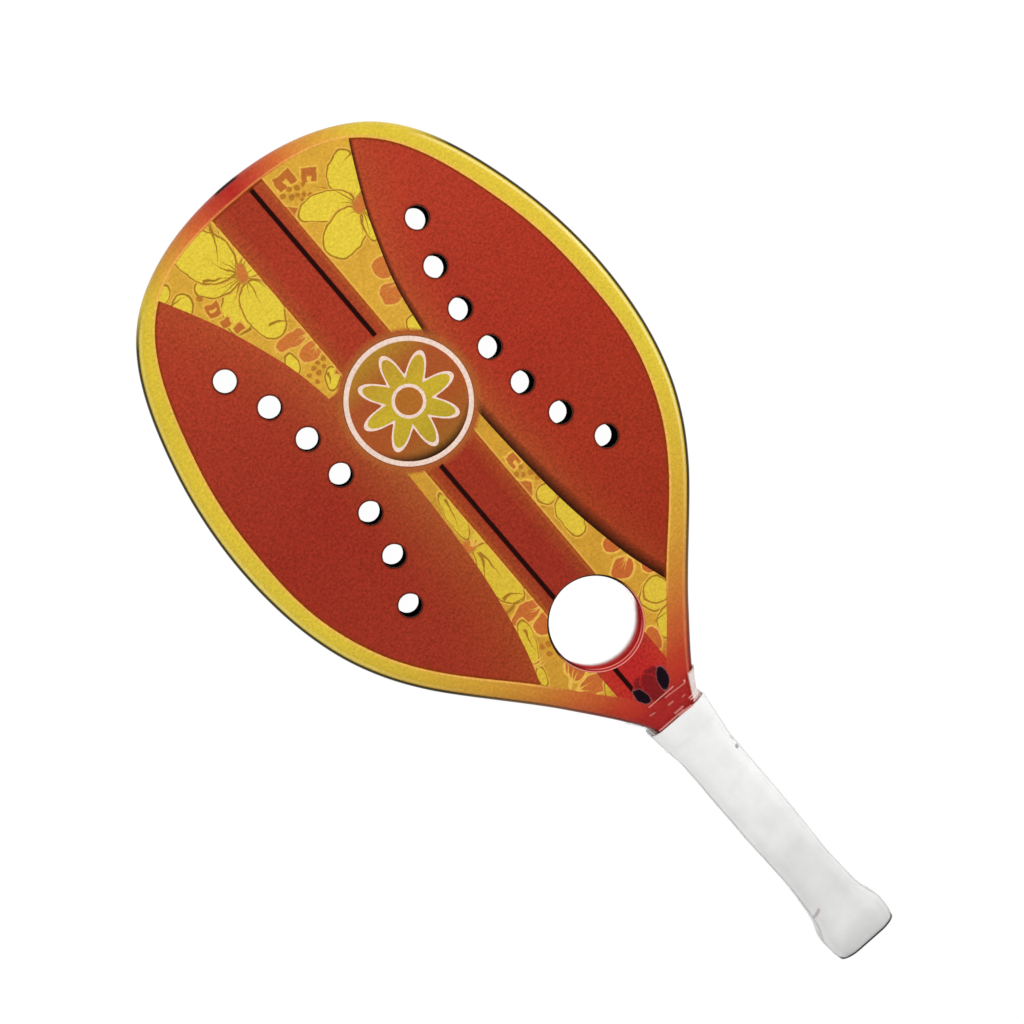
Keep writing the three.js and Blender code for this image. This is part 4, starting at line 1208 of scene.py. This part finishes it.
def tape_paint(name):
    """Soft white tape: pin-prick pores, a light soiling in soft blotches, painted shade that darkens it
    towards the butt and where it turns away from view, and a satin skin.
    """
    paint = Paint.of(name)
    pores = paint.node("ShaderNodeTexVoronoi", {"Vector": paint.place, "Scale": 1 / 1.3, "Randomness": 0.4})
    pit = paint.fade(pores, 0.28, 0.1).held()
    soil = paint.noise(16, 4, 0.6)
    colour = paint.mix(paint.fade(soil, 0.25, 0.75), srgb(0xEBEBE9), srgb(0xFAFAF9))
    # Painted shade: the tape is darker towards the butt.
    painted_butt_shade = paint.lookup(paint.y, [(-146, 0.68), (-138, 0.81), (-110, 0.85), (-85, 0.9), (-45, 0.98),
                                  (0, 1.0)])
    # Painted shade: the tape darkens where it turns away from view.
    turned = paint.node("ShaderNodeLayerWeight", {"Blend": 0.5}, output=1)
    edge = paint.fade(turned, 0.66, 0.9).held() * 0.5
    colour = paint.shade(colour, (painted_butt_shade - pit * 0.05) * (1 - edge))
    face = paint.cover(paint.z * -1, 0.5, -10.6)
    marks = []
    for x, y, wide, high, tint in SCUFFS:
        dx, dy = (paint.x - x) * (1 / wide), (paint.y - y) * (1 / high)
        marks.append((paint.cover(dx * dx + dy * dy, 0.8, 1) & face, tint))
    bow = paint.y - ((paint.x + 14) * 0.6 - 120)
    streak = paint.cover(abs(bow), 0.9, 0.75) & paint.cover(abs(paint.x + 12), 1.0, 3.0)
    streak = (streak & paint.cover(paint.z * -1, 0.5, -6)).held() * 0.6
    colour = paint.layers(colour, [*marks, (streak, 0xA08088)])
    return paint.finish(colour, Roughness=0.62 + soil * 0.1, Specular_IOR_Level=0.3,
                        Normal=paint.bump(paint.noise(0.5, 2) - pit * 0.6, 0.22, 0.08))


# Painted highlights, pale lines and glints where the film is drawn in: place, half length, half height,
# lean and share
FILM_HIGHLIGHTS = [
    (-0.5, 12.2, 7.5, 0.2, 0, 0.5), (6.5, 10.2, 5.5, 0.2, -0.07, 0.3), (-9, 8.6, 1.2, 0.25, -0.1, 0.22),
    (1, 6.8, 1.2, 0.35, 0, 0.22), (8, 5.4, 0.6, 0.2, 0.1, 0.2), (2, 1.9, 2.4, 0.35, 0, 0.3),
    (-4, 0.7, 7.5, 0.2, 0, 0.6), (4, 0.3, 4, 0.25, -0.06, 0.75), (11.4, 3.1, 2.0, 0.2, 0.05, 1),
    (11.2, 2.0, 1.8, 0.2, 0.05, 1), (11.4, 0.7, 1.4, 0.2, 0.05, 0.7), (12.9, 10.6, 0.3, 0.5, 0.5, 0.9),
]


def film_paint():
    """Clear film: see-through, with a little gloss at a slant, and painted highlights: pale glints and
    lines where it is drawn in, and a pale sheen where it stands off the neck.
    """
    paint = Paint.of("clear_film")
    stretched = paint.node("ShaderNodeVectorMath", [paint.place, (0.5, 1.6, 1.0)], operation="MULTIPLY")
    crease = paint.noise(5, 3, 0.55, stretched)
    neck = (paint.fade(paint.y, 0, 1.5) & paint.fade(paint.y, 13, 11.5)).held()
    bump = paint.bump(crease * (neck * 0.8 + 0.2), 0.6, 0.5)
    slant = paint.node("ShaderNodeFresnel", {"IOR": 1.38, "Normal": bump})
    turned = paint.node("ShaderNodeLayerWeight", {"Blend": 0.5}, output=1)
    share = slant * 0.12 - 0.003 + paint.fade(turned, 0.75, 0.95).held() * 0.25
    # Painted sheen: a pale strip where the film stands off the right of the neck.
    strip = (paint.fade(paint.x - paint.y * 0.54, 9.4, 10.4) & neck).held()
    marks = strip * (crease * 0.6 + 0.4)
    # Painted highlights: pale lines and glints from the table.
    for x, y, long, high, lean, strength in FILM_HIGHLIGHTS:
        line = paint.cover(abs(paint.y - y - (paint.x - x) * lean), 0.3, high)
        marks = marks | line & paint.cover(abs(paint.x - x), 1.0, long) & strength
    marks = marks.held()
    clear = paint.node("ShaderNodeBsdfTransparent", {"Color": (1, 1, 1, 1)})
    gloss = paint.node("ShaderNodeBsdfGlossy", {"Color": (1, 1, 1, 1), "Roughness": 0.1, "Normal": bump})
    # The painted highlights are a plain diffuse colour: pink for the lines, paler on the strip.
    painted_highlight = paint.mix(strip, srgb(0xF4A89C), srgb(0xF8ECE8))
    painted_highlight = paint.node("ShaderNodeBsdfDiffuse", {"Color": painted_highlight})
    seen = paint.node("ShaderNodeMixShader", {0: share, 1: clear, 2: gloss})
    return paint.close(paint.node("ShaderNodeMixShader", {0: marks, 1: seen, 2: painted_highlight}))


# Stage, in metres and degrees. The camera's bearing is the direction its right side is square to
CAMERA_SPOT, CAMERA_AIM = (-0.05655, 0.1786, 1.2295), (0.00324, 0.03306, 0.0165)
CAMERA_BEARING, CAMERA_LENS = 49.544, 90.11

# Lamps: name, place, aim, size and watts
LAMPS = [
    ("key", (-0.25, 0.35, 1.95), (0, 0.02, 0), (1.0, 1.0), 12),
    ("left_strip", (-1.1, -0.05, 0.55), (0, 0.0, 0.01), (0.3, 1.4), 2.5),
    ("right_strip", (1.1, 0.1, 0.5), (0, 0.05, 0.01), (0.16, 1.4), 7.5),
]

# Floor: half its side, its rise per metre, since the flare and the head both touch it, and where
# that rise starts
FLOOR_REACH = 4.0
FLOOR_SLOPE = 0.0055 / 0.457
FLOOR_FOOT = -0.228


def photo_camera():
    """The camera that was fitted to the photo."""
    spot, aim = Vector(CAMERA_SPOT), Vector(CAMERA_AIM)
    forward = (aim - spot).normalized()
    bearing = math.radians(CAMERA_BEARING)
    right = forward.cross(Vector((math.cos(bearing), math.sin(bearing), 0))).normalized()
    up = right.cross(forward)
    camera = bpy.data.objects.new("camera", bpy.data.cameras.new("camera"))
    camera.data.lens, camera.data.sensor_width, camera.data.sensor_fit = CAMERA_LENS, 36, "HORIZONTAL"
    camera.data.clip_start, camera.data.clip_end = 0.01, 50
    turn = Matrix((right, up, -forward)).transposed().to_4x4()
    camera.matrix_world = Matrix.Translation(spot) @ turn
    bpy.context.scene.collection.objects.link(camera)
    bpy.context.scene.camera = camera


def lamps():
    """Rectangular lamps: a wide one overhead and a strip on either side."""
    for name, place, aim_at, size, watts in LAMPS:
        lamp = bpy.data.lights.new(name, "AREA")
        lamp.shape, lamp.size, lamp.size_y, lamp.energy = "RECTANGLE", size[0], size[1], watts
        made = bpy.data.objects.new(name, lamp)
        made.location = place
        made.rotation_euler = (Vector(aim_at) - Vector(place)).to_track_quat("-Z", "Y").to_euler()
        bpy.context.scene.collection.objects.link(made)


def surroundings():
    """White all round, stronger to the camera than to the surfaces."""
    world = bpy.data.worlds.new("surroundings")
    bpy.context.scene.world = world
    world.use_nodes = True
    tree = world.node_tree
    tree.nodes.clear()
    rays = tree.nodes.new("ShaderNodeLightPath")
    strength = tree.nodes.new("ShaderNodeMath")
    strength.operation = "MULTIPLY_ADD"
    strength.inputs[1].default_value = 0.42
    strength.inputs[2].default_value = 0.58
    tree.links.new(rays.outputs["Is Camera Ray"], strength.inputs[0])
    back = tree.nodes.new("ShaderNodeBackground")
    tree.links.new(strength.outputs[0], back.inputs["Strength"])
    out = tree.nodes.new("ShaderNodeOutputWorld")
    tree.links.new(back.outputs[0], out.inputs[0])


def floor_sheet():
    """White paper that glows to the camera, so that only a soft shadow shows on it."""
    paint = Paint.of("floor_paper")
    camera_ray, glossy, through_it = (
        paint.node("ShaderNodeLightPath", output=ray)
        for ray in ("Is Camera Ray", "Is Glossy Ray", "Is Transmission Ray"))
    seen = (camera_ray | glossy | through_it) * 0.95
    paper = paint.node("ShaderNodeBsdfDiffuse", {"Color": (0.9, 0.9, 0.9, 1)})
    white = paint.node("ShaderNodeEmission", {"Color": (1, 1, 1, 1), "Strength": 1.03})
    finish = paint.close(paint.node("ShaderNodeMixShader", {0: seen, 1: paper, 2: white}))
    corners = [(x * FLOOR_REACH, y * FLOOR_REACH, FLOOR_SLOPE * (y * FLOOR_REACH - FLOOR_FOOT))
               for x, y in ((-1, -1), (1, -1), (1, 1), (-1, 1))]
    mesh = bpy.data.meshes.new("floor")
    mesh.from_pydata(corners, [], [(0, 1, 2, 3)])
    mesh.materials.append(finish)
    floor = bpy.data.objects.new("floor", mesh)
    bpy.context.scene.collection.objects.link(floor)


photo_camera()
lamps()
surroundings()
floor_sheet()
bpy.context.scene.view_settings.view_transform = "Standard"

laminate = head_paint()
frame_tube(laminate)
face_sheet("front_sheet", 1, laminate, "front_face")
face_sheet("back_sheet", -1, laminate, "back_face")
head_core(foam_paint("core_foam", 0x060505, 0x0F0D0D, 0.6))
throat_block(foam_paint("throat_foam", 0x3E322C, 0x58483E, 0.9))
throat_ring(ring_paint())
pallet_foam = foam_paint("pallet_foam", 0xC4BCA8, 0xD8D0BE, 1.1)
for node in ("handle_pallet_front", "handle_pallet_back"):
    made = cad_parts[node]
    for place in made.material_slots:
        place.material = pallet_foam
butt_cap(cap_paint())
grip_tape(tape_paint("grip_tape"))
finishing_band(tape_paint("band_tape"))
clear_film(film_paint())

bpy.context.view_layer.update()
